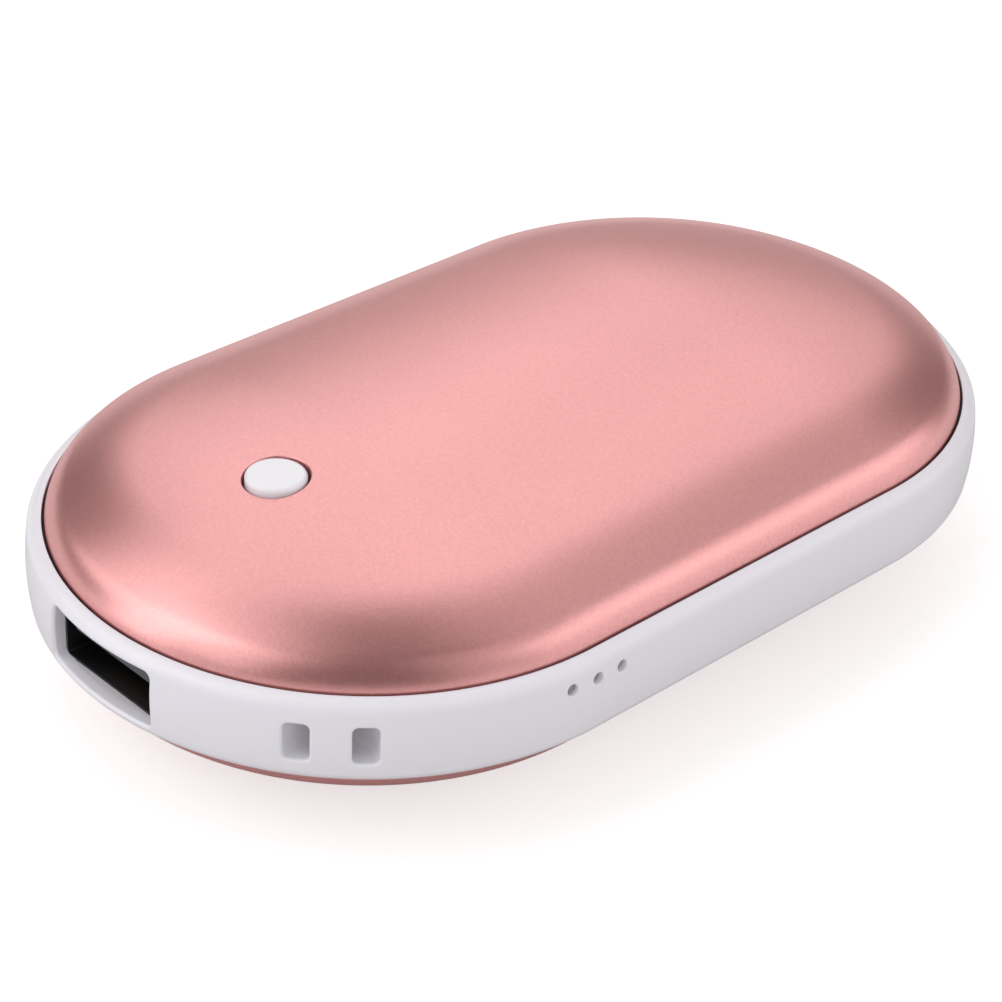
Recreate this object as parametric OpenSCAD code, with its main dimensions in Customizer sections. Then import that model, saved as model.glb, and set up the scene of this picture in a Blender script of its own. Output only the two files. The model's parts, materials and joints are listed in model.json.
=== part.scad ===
// Rechargeable hand warmer: two domed metal shells on a moulded band, with a
// button in the upper shell and a charging output in the tip of the band.
// Plan: +X along the length, button and output towards -X, +Z up, rests on z = 0.

/* [Body] */
// Overall length, tip to tip
body_l = 97.6; // [90:0.1:110]
// Overall width, across the band
body_w = 59.6; // [54:0.1:66]
// Overall thickness, from the resting face to the crown
body_t = 23; // [21:0.1:26]

/* [Shells] */
// Thickness of the metal shells
shell_wall = 1; // [0.8:0.1:1.1]
// How far a shell's edge lies in from the outside of the band
seam_inset = 1.8; // [1.6:0.1:2.4]
// Open gap between a shell's edge and the lip of the band
seam_gap = 0.25; // [0.15:0.05:0.3]
// Radius of the crown's long curve
crown_r = 86; // [80:1:100]
// Radius of the shell's tighter curve, next to the band
edge_r = 5.8; // [5:0.1:7]
// Depth of the small resting flat under the lower shell
rest_cut = 0.15; // [0.05:0.05:0.3]

/* [Band] */
// Height of the band between the two seams
band_h = 8; // [7.8:0.1:9]
// Thickness of the band at its middle
band_wall = 3.2; // [2.9:0.1:3.3]
// Radius of the band's slightly bowed side
side_r = 20; // [16:1:40]
// Radius of the band's rounded shoulders
shoulder_r = 1.3; // [0.8:0.1:1.5]
// How deep a shell's edge sits in the band
seat_depth = 0.6; // [0.5:0.1:0.8]
// Thickness of the web that carries the cells
web_t = 1.2; // [1:0.1:1.4]

/* [Button] */
// Distance of the button from the tip of the band
button_setback = 19.6; // [18:0.1:22]
// Diameter of the button's cap
button_d = 5.4; // [4.8:0.1:6]
// Open gap round the cap
button_gap = 0.25; // [0.2:0.05:0.5]
// How far the cap stands above the shell
button_proud = 0.3; // [0:0.05:0.4]
// Rounding of the cap's top edge
button_round = 0.5; // [0.3:0.1:0.8]
// Width of the retaining flange, beyond the cap
flange_w = 1.1; // [0.9:0.1:1.5]
// Thickness of the retaining flange
flange_t = 0.8; // [0.6:0.1:1]
// Diameter of the button's stem
stem_d = 3; // [2.6:0.1:3.2]
// Travel of the button
button_travel = 0.4; // [0.2:0.1:0.5]

/* [Charging output] */
// Width of the window in the band
window_w = 13; // [12.6:0.1:13.4]
// Height of the window in the band
window_h = 5.4; // [5.2:0.1:5.8]
// Corner radius of the window
window_r = 0.7; // [0.4:0.1:1]
// Distance of the socket's mouth from the tip of the band
socket_setback = 2; // [1.8:0.1:2.4]
// Width of the socket, outside the metal
socket_w = 13.1;
// Height of the socket, outside the metal
socket_h = 5.7;
// Length of the socket
socket_l = 14; // [13.5:0.5:14.5]
// Thickness of the socket's metal
socket_metal = 0.3; // [0.2:0.05:0.35]
// Gap between the side of the tongue and the metal
tongue_side = 0.7; // [0.6:0.05:0.8]
// Thickness of the tongue in the socket
tongue_t = 1.84; // [1.8:0.02:1.9]
// Distance of the tongue behind the socket's mouth
tongue_setback = 0.4; // [0.3:0.1:1]
// Gap between the top of the tongue and the metal above it
tongue_gap = 0.7; // [0.65:0.05:0.8]

/* [Charging input] */
// Distance of the input from the tip of the band
input_setback = 22; // [21:0.5:23]
// Width of the input socket
input_w = 7.5; // [7.4:0.1:7.6]
// Height of the input socket
input_h = 2.5; // [2.4:0.1:2.6]
// Length of the input socket
input_l = 5.5; // [5:0.1:5.8]
// Distance of the input's mouth behind the band's surface
input_depth = 0.6; // [0.4:0.1:1]
// Thickness of the input socket's metal
input_metal = 0.25; // [0.2:0.05:0.3]
// Clearance of the window round the input socket
input_gap = 0.2; // [0.15:0.05:0.25]

/* [Lanyard bar] */
// Width of each lanyard slot
slot_w = 2.25; // [2:0.05:2.6]
// Height of each lanyard slot
slot_h = 3.6; // [3:0.1:4]
// Distance between the two slots, middle to middle
slot_pitch = 5.8; // [5.4:0.1:6.6]
// Thickness of the bar between the slots
bar_t = 1.5; // [1.3:0.1:1.7]
// Wall behind the tunnel
tunnel_wall = 1.1; // [0.9:0.1:1.2]
// Distance of the bar from the tip, along the band
bar_run = 22.7; // [22:0.1:24]

/* [Indicators] */
// Distance of the first light from the tip of the band
light_setback = 26.5; // [26:0.1:28]
// Distance between the lights
light_pitch = 2.76; // [2.5:0.02:3]
// Diameter of each light
light_d = 0.95; // [0.8:0.05:1.4]
// Height of the lights above the middle of the band
light_rise = 1.9; // [1.2:0.1:2]
// Depth of the lights behind the surface
light_sink = 0.6; // [0.15:0.05:0.8]

/* [Carriers] */
// Wall of the moulded carriers behind the shells' edges
carrier_wall = 1.2; // [1:0.1:1.3]
// Bond gap between a carrier and its shell
bond_gap = 0.1; // [0.05:0.05:0.15]
// Height of a carrier's rim above the band
carrier_rise = 1.4; // [1.2:0.1:1.8]
// Width of a snap hook
hook_w = 4; // [3:0.5:5]
// Thickness of a snap hook
hook_t = 1; // [0.8:0.1:1.1]
// Reach of the hook's barb
barb = 0.45; // [0.3:0.05:0.5]
// Place of the side hooks, as a share of the straight side
hook_share = 0.48; // [0.4:0.02:0.6]

/* [Heating and power] */
// Thickness of a film heater
heater_t = 0.25; // [0.2:0.05:0.35]
// Distance of a film heater's edge inside the cell's edge
heater_inset = 0.8; // [0.5:0.1:2]
// Distance of a cell's long side from the band
cell_inset = 6.3; // [6:0.1:9]
// Distance of a cell's far corners from the band
cell_corner_gap = 4.5; // [4.2:0.1:6]
// Thickness of the foam at a cell's edge
foam_edge = 1.1; // [0.9:0.1:2]
// Thickness of the cells' protection board
guard_t = 0.8; // [0.6:0.1:1]

/* [Main board] */
// Thickness of the main board
board_t = 1.2; // [1:0.1:1.6]
// Reach of the board from the tip of the band
board_reach = 26.3; // [26:0.1:26.6]
// Gap round the board
board_gap = 0.3; // [0.2:0.05:0.5]
// Diameter of the board's screws
screw_d = 1.8; // [1.6:0.1:2]
// Length of the board's screws
screw_l = 5; // [4:0.5:5.5]

/* [Hidden] */
$fn = 72;
crown_fn = 360;
edge_fn = 96;
side_fn = 360;

// Clearances and small sizes
over = 1;
touch = 0.05;
run_gap = 0.1;
hook_gap = 0.2;
socket_fit = 0.15;

// Plan of the body: two half rounds on a straight middle
ring_r = body_w / 2;
spine = (body_l - body_w) / 2;
tip_x = -body_l / 2;
half_t = (body_t + rest_cut) / 2;
mid_z = body_t - half_t;
seam_r = ring_r - seam_inset;
lip_r = seam_r + seam_gap;
inner_r = ring_r - band_wall;
seam_z = band_h / 2;
ledge_z = seam_z - seat_depth;

// Centre of the arc of radius r2 that ends in point p and touches, from inside,
// the arc of radius r1 about c
function inner_centre(c, r1, p, r2) =
    let (d = p - c, l = norm(d), u = d / l)
    let (a = (pow(r1 - r2, 2) - pow(r2, 2) + pow(l, 2)) / (2 * l))
    c + a * u + sqrt(pow(r1 - r2, 2) - pow(a, 2)) * [-u.y, u.x];

// Section of a shell: the crown arc runs into the edge arc along a common ray
crown_c = [0, half_t - crown_r];
edge_c = inner_centre(crown_c, crown_r, [seam_r, seam_z], edge_r);
dome_ray = (edge_c - crown_c) / norm(edge_c - crown_c);
ray_far = crown_c + (crown_r + over) * dome_ray;

// Section of the band: the bowed side runs into the shoulder in the same way
side_c = [ring_r - side_r, 0];
shoulder_z = seam_z - shoulder_r;
shoulder_c = [side_c.x + sqrt(pow(side_r - shoulder_r, 2) - pow(shoulder_z, 2)), shoulder_z];
side_ray = (shoulder_c - side_c) / norm(shoulder_c - side_c);
side_far = side_c + (side_r + over) * side_ray;

// Offsets of what lies under a shell
carrier_out = shell_wall + bond_gap;
carrier_in = carrier_out + carrier_wall;
heater_out = shell_wall + touch;
heater_in = heater_out + heater_t;
pad_out = heater_in + run_gap;

// Radius of the dome's inside at a height, and height at a radius
function edge_at(off, z) = edge_c.x + sqrt(pow(edge_r - off, 2) - pow(z - edge_c.y, 2));
function crown_at(off, r) = crown_c.y + sqrt(pow(crown_r - off, 2) - pow(r, 2));

// Wires are laid on a fine grid so that their pieces meet exactly
grid = 0.01;
function on_grid(v) = round(v / grid) * grid;

// Height of a point under the dome's crown, at its place in the plan
function plan_r(x, y) = norm([max(abs(x) - spine, 0), y]);

// Board, cells and web
board_top = -socket_h / 2;
board_bot = board_top - board_t;
board_r = edge_at(carrier_in, -board_bot) - board_gap;
board_x = tip_x + board_reach;
guard_gap = 0.9;
guard_x = board_x + guard_gap;
tab_l = 1.1;
cell_x = guard_x + guard_t + tab_l;
cell_r = 2;
cell_w = 2 * (inner_r - cell_inset);
cell_end = spine + sqrt(pow(inner_r - cell_corner_gap, 2) - pow(cell_w / 2, 2));
cell_l = cell_end - cell_x;
cell_t = crown_at(heater_in, cell_w / 2) - foam_edge - web_t / 2;
seal_l = 1.6;
seal_t = 0.4;
seal_w = cell_w - 2 * cell_r;
web_gap = 0.4;
web_root = 0.2;
web_x = cell_x - web_gap;
cell_top = web_t / 2 + cell_t;

// Button, its guide and its switch
button_x = tip_x + button_setback;
button_r = plan_r(button_x, 0);
hole_d = button_d + 2 * button_gap;
flange_r = button_d / 2 + flange_w;
button_top = crown_at(0, button_r) + button_proud;
flange_gap = 0.15;
flange_top = crown_at(shell_wall, plan_r(button_x - flange_r, 0)) - flange_gap;
flange_bot = flange_top - flange_t;
bridge_t = 1.2;
bridge_w = 13;
bridge_top = flange_bot - button_travel - hook_gap;
bridge_bot = bridge_top - bridge_t;
bridge_end = 4.2;
sleeve_w = 1.5;
sleeve_l = 1.2;
sleeve_gap = 0.3;
switch_w = 6;
switch_body = 3.5;
plunger_d = 3.4;
plunger_sink = 1;
plunger_top = on_grid(bridge_bot - sleeve_l - sleeve_gap);

// Everything is drawn about the middle of the band and lifted to stand on z = 0
module lifted() {
    translate([0, 0, mid_z]) children();
}

// Children drawn along +X are set at a turn from the tip, about the end's centre
module at_end(turn) {
    translate([-spine, 0, 0]) rotate([0, 0, 180 - turn]) children();
}

// Flips what is drawn for the upper half to the lower half
module lower() {
    mirror([0, 0, 1]) children();
}

module both_sides() {
    children();
    mirror([1, 0]) children();
}

// Carries a half section, drawn in radius and height, round the plan
module round_plan() {
    translate([spine, 0, 0]) rotate([0, 0, -90]) rotate_extrude(angle = 180) children();
    translate([-spine, 0, 0]) rotate([0, 0, 90]) rotate_extrude(angle = 180) children();
    translate([-spine, 0, 0]) rotate([90, 0, 90]) linear_extrude(2 * spine)
        both_sides() children();
}

module plan(r) {
    square([2 * spine, 2 * r], center = true);
    for (side = [-1, 1])
        translate([side * spine, 0]) circle(r);
}

// The dome's half section, taken in by an offset: the crown's disc, kept whole
// inside the common ray and cut to the edge's disc outside it
module dome_fill(off) {
    intersection() {
        translate(crown_c) circle(crown_r - off, $fn = crown_fn);
        union() {
            translate(edge_c) circle(edge_r - off, $fn = edge_fn);
            polygon([crown_c, ray_far, [0, ray_far.y + half_t]]);
        }
    }
}

module dome_band(off_a, off_b, floor_z, reach) {
    intersection() {
        difference() {
            dome_fill(off_a);
            dome_fill(off_b);
        }
        translate([0, floor_z]) square([reach, half_t]);
    }
}

// A rectangle with true round corners, about its centre
module rounded(w, h, r) {
    square([w - 2 * r, h], center = true);
    square([w, h - 2 * r], center = true);
    for (sx = [-1, 1], sy = [-1, 1])
        translate([sx * (w / 2 - r), sy * (h / 2 - r)]) circle(r);
}

// A rounded bar along +X from x0, w across and h high
module rounded_along_x(x0, len, w, h, r) {
    translate([x0, 0, 0]) rotate([90, 0, 90]) linear_extrude(len) rounded(w, h, r);
}

module block(x, y, z) {
    translate([x[0], y[0], z[0]]) cube([x[1] - x[0], y[1] - y[0], z[1] - z[0]]);
}

// Outer skins

module shell_section() {
    dome_band(0, shell_wall, ledge_z, seam_r);
}

module top_shell() {
    color("#e8b0ad") lifted() difference() {
        round_plan() shell_section();
        translate([button_x, 0, 0]) cylinder(d = hole_d, h = half_t + over);
    }
}

module bottom_shell() {
    color("#e8b0ad") lifted() difference() {
        lower() round_plan() shell_section();
        block([tip_x, -tip_x], [-ring_r, ring_r], [-half_t - over, -mid_z]);
    }
}

// The band, with its seats, ports, lanyard bar, web and board bosses

module band_section() {
    intersection() {
        translate(side_c) circle(side_r, $fn = side_fn);
        difference() {
            union() {
                polygon([side_c, side_far, [side_far.x, -side_far.y]]);
                for (side = [-1, 1])
                    translate([shoulder_c.x, side * shoulder_z]) circle(shoulder_r);
                translate([inner_r, -seam_z]) square([shoulder_c.x - inner_r, band_h]);
            }
            for (side = [0, 1])
                mirror([0, side]) translate([inner_r - over, ledge_z])
                    square([lip_r - inner_r + over, seat_depth + over]);
            translate([side_c.x - over, -band_h]) square([inner_r - side_c.x + over, 2 * band_h]);
        }
    }
}

// The slots are the two ends of one tunnel, which bends round the bar
bar_turn = bar_run / ring_r * 180 / PI;
bend_r = slot_pitch / 2;
bend_x = ring_r - bar_t + bend_r - slot_w / 2;
pocket_r = bend_r + slot_w / 2 + tunnel_wall;
pocket_gap = 0.6;
pocket_z = ledge_z - pocket_gap;
slot_round = 0.55;

module lanyard_tunnel() {
    at_end(-bar_turn) translate([bend_x, 0, 0])
        rotate_extrude() translate([bend_r, 0]) rounded(slot_w, slot_h, slot_round);
}

module lanyard_pocket() {
    intersection() {
        linear_extrude(2 * pocket_z, center = true) plan(inner_r + web_root);
        at_end(-bar_turn) translate([bend_x, 0, 0])
            cylinder(r = pocket_r, h = 2 * pocket_z, center = true);
    }
}

// Snap hooks stand on both long sides and near both ends
hook_out = inner_r - hook_gap;
tip_hook_gap = 2.3;
tip_hook_turn = asin((window_w / 2 + tip_hook_gap + hook_w / 2) / hook_out);
tail_hook_turn = 35;
hook_x = spine * hook_share;
hook_in = hook_out - hook_t;
hook_rise = 0.3;
hook_end = web_t / 2 + hook_rise;
hook_lap = 1;
barb_h = 0.8;
barb_flat = 0.2;

module at_hooks() {
    for (sx = [-1, 1], sy = [-1, 1])
        translate([sx * hook_x, 0, 0]) rotate([0, 0, sy * 90]) children();
    for (side = [-1, 1]) {
        at_end(side * tip_hook_turn) children();
        mirror([1, 0, 0]) at_end(side * tail_hook_turn) children();
    }
}

module hook() {
    block([hook_in, hook_out], [-hook_w / 2, hook_w / 2], [hook_end, ledge_z + hook_lap]);
    rotate([90, 0, 0]) linear_extrude(hook_w, center = true) polygon([
        [hook_out - touch, hook_end], [hook_out, hook_end],
        [hook_out + barb, hook_end + barb_h - barb_flat],
        [hook_out + barb, hook_end + barb_h], [hook_out - touch, hook_end + barb_h]
    ]);
}

module hook_pocket() {
    block(
        [inner_r - over, hook_out + barb + hook_gap],
        [-hook_w / 2 - hook_gap, hook_w / 2 + hook_gap],
        [hook_end - run_gap, hook_end + barb_h + hook_gap]
    );
}

// Two bosses take the board's screws from below, their heads clear of the lower carrier
head_d = 3.6;
head_h = 1.2;
boss_r = 2.2;
boss_gap = 0.6;
boss_reach = edge_at(carrier_in, head_h - board_bot) - head_d / 2 - boss_gap;
boss_turns = [41, -65];
boss_top = web_t / 2;
rib_t = 1.4;
pilot_d = screw_d + run_gap;
pilot_gap = 0.3;
pilot_l = screw_l - board_t + pilot_gap;

module board_boss() {
    translate([boss_reach, 0, board_top]) cylinder(r = boss_r, h = boss_top - board_top);
    block([boss_reach, inner_r + web_root], [-rib_t / 2, rib_t / 2], [board_top, boss_top]);
}

input_x = tip_x + input_setback;
input_side = plan_r(input_x - input_w / 2, 0);
input_mouth = sqrt(pow(ring_r, 2) - pow(input_side, 2)) - input_depth;
input_z = board_top + input_h / 2;
input_round = 0.8;
light_hole_d = light_d + 2 * touch;
light_x = tip_x + light_setback;

module web() {
    difference() {
        intersection() {
            translate([0, 0, -web_t / 2]) linear_extrude(web_t) plan(inner_r + web_root);
            block([web_x, -tip_x], [-ring_r, ring_r], [-web_t, web_t]);
        }
        block([web_x - over, light_x + 2 * light_pitch + guide_end + web_gap],
            [-inner_r, guide_y + guide_t + web_gap], [-web_t, web_t]);
    }
}

module mid_frame() {
    color("#e6e6ea") lifted() difference() {
        union() {
            round_plan() band_section();
            web();
            lanyard_pocket();
            for (turn = boss_turns)
                at_end(turn) board_boss();
        }
        rounded_along_x(tip_x - over, band_wall + over, window_w, window_h, window_r);
        rounded_along_x(socket_x - touch, band_wall + over, socket_w + 2 * socket_fit,
            socket_h + 2 * socket_fit, socket_r + socket_fit);
        lanyard_tunnel();
        for (i = [0:2])
            translate([light_x + i * light_pitch, guide_y, light_rise])
                rotate([90, 0, 0]) cylinder(d = light_hole_d, h = ring_r + over + guide_y);
        translate([input_x, input_mouth - input_l, input_z]) rotate([90, 0, 180])
            linear_extrude(input_l + input_depth + band_wall)
                rounded(input_w + 2 * input_gap, input_h + 2 * input_gap, input_round);
        at_hooks() hook_pocket();
        lower() at_hooks() hook_pocket();
        for (turn = boss_turns)
            at_end(turn) translate([boss_reach, 0, board_top - touch])
                cylinder(d = pilot_d, h = pilot_l + touch);
    }
}

// Carriers: moulded rims bonded into the shells, which snap into the band

module carrier_rim() {
    round_plan() dome_band(carrier_out, carrier_in, ledge_z, seam_r);
}

module carrier_body() {
    intersection() {
        carrier_rim();
        block([tip_x, -tip_x], [-ring_r, ring_r], [ledge_z, seam_z + carrier_rise]);
    }
    at_hooks() hook();
}

module top_carrier() {
    color("#dcdce0") lifted() difference() {
        union() {
            carrier_body();
            intersection() {
                carrier_rim();
                block([tip_x, button_x], [-bridge_w / 2, bridge_w / 2], [ledge_z, bridge_top]);
            }
            intersection() {
                round_plan() intersection() {
                    dome_fill(carrier_out);
                    translate([0, bridge_bot]) square([ring_r, bridge_t]);
                }
                block([tip_x, button_x + bridge_end], [-bridge_w / 2, bridge_w / 2],
                    [bridge_bot, bridge_top]);
            }
            translate([button_x, 0, bridge_bot - sleeve_l])
                cylinder(d = stem_d + 2 * run_gap + 2 * sleeve_w, h = sleeve_l + bridge_t / 2);
        }
        translate([button_x, 0, bridge_bot - sleeve_l - over])
            cylinder(d = stem_d + 2 * run_gap, h = sleeve_l + bridge_t + 2 * over);
    }
}

module bottom_carrier() {
    color("#dcdce0") lifted() lower() carrier_body();
}

// Film heaters under the crowns, and the foam that holds them off the cells

heater_lead_in = 1.4;
heater_x = cell_x - heater_lead_in;
heater_l = cell_end - heater_inset - heater_x;
heater_w = cell_w - 2 * heater_inset;
dome_reach = edge_c.x + edge_r / 2;
heater_round = 3;
pad_in = 1.5;
pad_gap = touch;

module heater_body() {
    intersection() {
        round_plan() dome_band(heater_out, heater_in, cell_top, dome_reach);
        translate([heater_x + heater_l / 2, 0, 0]) linear_extrude(half_t)
            rounded(heater_l, heater_w, heater_round);
    }
}

module pad_body() {
    intersection() {
        round_plan() intersection() {
            dome_fill(pad_out);
            translate([0, cell_top + pad_gap]) square([dome_reach, half_t]);
        }
        translate([cell_x + cell_l / 2, 0, 0]) linear_extrude(half_t)
            rounded(cell_l - 2 * pad_in, cell_w - 2 * pad_in, heater_round);
    }
}

module top_heater() {
    color("#c98a3c") lifted() heater_body();
}

module bottom_heater() {
    color("#c98a3c") lifted() lower() heater_body();
}

module top_pad() {
    color("#4a4a4e") lifted() pad_body();
}

module bottom_pad() {
    color("#4a4a4e") lifted() lower() pad_body();
}

// Two flat cells, one on each side of the web, with their protection board

module cell_body() {
    translate([cell_x + cell_l / 2, 0, web_t / 2]) linear_extrude(cell_t)
        rounded(cell_l, cell_w, cell_r);
    block([cell_x - seal_l, cell_x + cell_r * 2], [-seal_w / 2, seal_w / 2],
        [web_t / 2 + cell_t / 2 - seal_t / 2, web_t / 2 + cell_t / 2 + seal_t / 2]);
}

module upper_cell() {
    color("#9fa6b2") lifted() cell_body();
}

module lower_cell() {
    color("#9fa6b2") lifted() lower() cell_body();
}

guard_w = 28;
guard_h = 4.6;
tab_w = 4;
tab_t = 0.2;
tab_z = 1.6;
tab_y = 9;

module cell_guard_board() {
    color("#2f6b3f") lifted()
        block([guard_x, guard_x + guard_t], [-guard_w / 2, guard_w / 2], [-guard_h / 2, guard_h / 2]);
}

module cell_tabs() {
    color("#c9ccd1") lifted() for (sy = [-1, 1], sz = [-1, 1])
        block([guard_x + guard_t, cell_x], [sy * tab_y - tab_w / 2, sy * tab_y + tab_w / 2],
            [sz * tab_z - tab_t / 2, sz * tab_z + tab_t / 2]);
}

// A wire that leaves along -X, turns through a bend and runs down to a landing
module dropping_wire(start, run, drop_to, d, bend) {
    translate(start) rotate([0, -90, 0]) cylinder(d = d, h = run);
    translate(start + [-run, 0, -bend]) rotate([-90, 0, 0]) rotate([0, 0, 180])
        rotate_extrude(angle = 90) translate([bend, 0]) circle(d = d);
    translate([start.x - run - bend, start.y, drop_to])
        cylinder(d = d, h = start.z - bend - drop_to);
}

lead_d = 1.1;
lead_y = 4.5;
lead_z = 0.4;
lead_run = 0.5;
lead_lap = 1;
lead_bend = 1.1;
heater_lead_d = 0.8;
heater_lead_run = 1;
heater_lead_y = 10.5;
heater_lead_pitch = 1.8;
heater_lead_bend = 1.2;

module battery_lead(side) {
    dropping_wire([guard_x, side * lead_y, lead_z], lead_run, board_top, lead_d, lead_bend);
}

module battery_lead_red() {
    color("#c8322d") lifted() battery_lead(1);
}

module battery_lead_black() {
    color("#222326") lifted() battery_lead(-1);
}

wire_gap = 0.3;
heater_lead_z = on_grid(
    crown_at(heater_in, heater_lead_y + heater_lead_pitch) - heater_lead_d / 2 - wire_gap
);

module heater_leads(landing) {
    for (side = [-1, 1])
        dropping_wire([heater_x + lead_lap, heater_lead_y + side * heater_lead_pitch / 2,
            heater_lead_z], lead_lap + heater_lead_run, landing, heater_lead_d, heater_lead_bend);
}

module top_heater_leads() {
    color("#d9c9a0") lifted() heater_leads(board_top);
}

module bottom_heater_leads() {
    color("#d9c9a0") lifted() lower() heater_leads(-board_bot);
}

bead_d = 1.4;
bead_l = 2.6;
bead_lead_d = 0.5;
bead_lead_y = 0.4;
bead_z = on_grid(crown_at(heater_in, heater_lead_y + bead_d) - bead_d / 2 - run_gap);

module thermistor() {
    color("#3c4f8a") lifted() {
        translate([heater_x, -heater_lead_y, bead_z])
            rotate([0, 90, 0]) cylinder(d = bead_d, h = bead_l);
        for (side = [-1, 1])
            dropping_wire([heater_x, -heater_lead_y + side * bead_lead_y, bead_z],
                lead_lap + heater_lead_run, board_top, bead_lead_d, heater_lead_bend);
    }
}

// Main board, with a wing under the lights

wing_w = 4;
wing_l = 8.4;
peg_w = 1.5;
peg_gap = 0.2;
peg_share = [0.3, 0.75];

module board_plan() {
    intersection() {
        plan(board_r);
        union() {
            translate([tip_x, -ring_r]) square([board_reach, body_w]);
            translate([board_x - over, -board_r]) square([wing_l + over, wing_w]);
        }
    }
}

module main_board() {
    color("#1f5a35") lifted() difference() {
        translate([0, 0, board_bot]) linear_extrude(board_t) board_plan();
        for (turn = boss_turns)
            at_end(turn) translate([boss_reach, 0, board_bot - over])
                cylinder(d = screw_d + 2 * hook_gap, h = board_t + 2 * over);
        socket_pegs(peg_gap);
    }
}

cross_w = 0.5;
cross_l = 2.2;
cross_h = 0.7;

module board_screws() {
    color("#8f9298") lifted() for (turn = boss_turns)
        at_end(turn) translate([boss_reach, 0, board_bot]) difference() {
            union() {
                cylinder(d = screw_d, h = screw_l);
                translate([0, 0, -head_h]) cylinder(d = head_d, h = head_h);
            }
            for (a = [0, 90])
                rotate([0, 0, a]) block([-cross_l / 2, cross_l / 2], [-cross_w / 2, cross_w / 2],
                    [-head_h - over, -head_h + cross_h]);
        }
}

// Charging output: metal shell, tongue and four contacts

socket_x = tip_x + socket_setback;
socket_r = 0.6;
mouth_w = socket_w - 2 * socket_metal;
mouth_h = socket_h - 2 * socket_metal;
block_l = 3.2;
tongue_w = mouth_w - 2 * tongue_side;
tongue_top = mouth_h / 2 - tongue_gap;
tongue_bot = tongue_top - tongue_t;
finger_w = 2;
finger_l = 5;
finger_x = 3.5;
finger_y = 2.6;
finger_slit = 0.4;

module socket_pegs(gap) {
    for (share = peg_share, side = [-1, 1])
        block([socket_x + share * socket_l - peg_w / 2 - gap, socket_x + share * socket_l + peg_w / 2 + gap],
            side > 0 ? [socket_w / 2 - socket_metal - gap, socket_w / 2 + gap]
                : [-socket_w / 2 - gap, -socket_w / 2 + socket_metal + gap],
            [board_bot - head_h / 2 - gap, 0]);
}

// A spring finger is cut free on three sides
module finger_cut(x, y) {
    difference() {
        block([x - finger_slit, x + finger_l], [y - finger_w / 2 - finger_slit, y + finger_w / 2 + finger_slit],
            [-socket_h, socket_h]);
        block([x, x + finger_l + over], [y - finger_w / 2, y + finger_w / 2], [-socket_h, socket_h]);
    }
}

module usb_socket_shell() {
    color("#b9bcc2") lifted() {
        difference() {
            rounded_along_x(socket_x, socket_l, socket_w, socket_h, socket_r);
            rounded_along_x(socket_x - over, socket_l + 2 * over, mouth_w, mouth_h, socket_r - socket_metal);
            for (side = [-1, 1])
                finger_cut(socket_x + finger_x, side * finger_y);
        }
        socket_pegs(0);
    }
}

contact_w = 1;
contact_t = 0.2;
contact_y = [-3.5, -1, 1, 3.5];
contact_front = 0.8;
contact_leg = 0.3;

module contact_path(gap) {
    for (y = contact_y)
        block([socket_x + tongue_setback + contact_front, socket_x + socket_l + contact_leg],
            [y - contact_w / 2 - gap, y + contact_w / 2 + gap], [tongue_bot - contact_t - gap, tongue_bot]);
}

module usb_socket_tongue() {
    color("#26272b") lifted() difference() {
        union() {
            block([socket_x + tongue_setback, socket_x + socket_l - block_l / 2],
                [-tongue_w / 2, tongue_w / 2], [tongue_bot, tongue_top]);
            rounded_along_x(socket_x + socket_l - block_l, block_l, mouth_w - 2 * touch,
                mouth_h - 2 * touch, socket_r - socket_metal);
        }
        contact_path(touch);
    }
}

module usb_contacts() {
    color("#d8b45a") lifted() {
        contact_path(0);
        for (y = contact_y)
            block([socket_x + socket_l, socket_x + socket_l + contact_leg],
                [y - contact_w / 2, y + contact_w / 2], [board_top, tongue_bot]);
    }
}

// Charging input on the far side of the band

input_slope = 0.9;
input_drop = 0.8;

module input_outline(grow) {
    w = input_w / 2 + grow;
    h = input_h / 2 + grow;
    polygon([[-w, h], [w, h], [w, h - input_drop - grow], [w - input_slope, -h],
        [-w + input_slope, -h], [-w, h - input_drop - grow]]);
}

module input_along_y(y0, len, grow) {
    translate([input_x, y0 + len, input_z]) rotate([90, 0, 0]) linear_extrude(len)
        input_outline(grow);
}

module input_socket_shell() {
    color("#b9bcc2") lifted() difference() {
        input_along_y(input_mouth - input_l, input_l, 0);
        input_along_y(input_mouth - input_l + input_metal, input_l, -input_metal);
    }
}

input_tongue_w = 3.7;
input_tongue_t = 0.6;
input_tongue_in = 0.9;
input_tongue_rise = 0.25;
input_block = 1.4;

module input_socket_tongue() {
    color("#26272b") lifted() {
        input_along_y(input_mouth - input_l + input_metal + touch, input_block, -input_metal - touch);
        translate([input_x, 0, input_z + input_tongue_rise])
            block([-input_tongue_w / 2, input_tongue_w / 2],
                [input_mouth - input_l + input_metal + input_block / 2, input_mouth - input_tongue_in],
                [-input_tongue_t / 2, input_tongue_t / 2]);
    }
}

// Button and switch

module power_button() {
    color("#eeeef2") lifted() translate([button_x, 0, 0]) rotate_extrude() {
        translate([0, flange_bot]) square([flange_r, flange_t]);
        translate([0, flange_top - touch])
            square([button_d / 2, button_top - flange_top - button_round + touch]);
        translate([0, flange_top]) square([button_d / 2 - button_round, button_top - flange_top]);
        intersection() {
            translate([button_d / 2 - button_round, button_top - button_round]) circle(button_round);
            square([button_d, half_t + over]);
        }
        translate([0, plunger_top]) square([stem_d / 2, flange_bot - plunger_top + touch]);
    }
}

leg_w = 0.7;
leg_l = 1;
leg_t = 0.25;
leg_y = 2.2;

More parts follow.
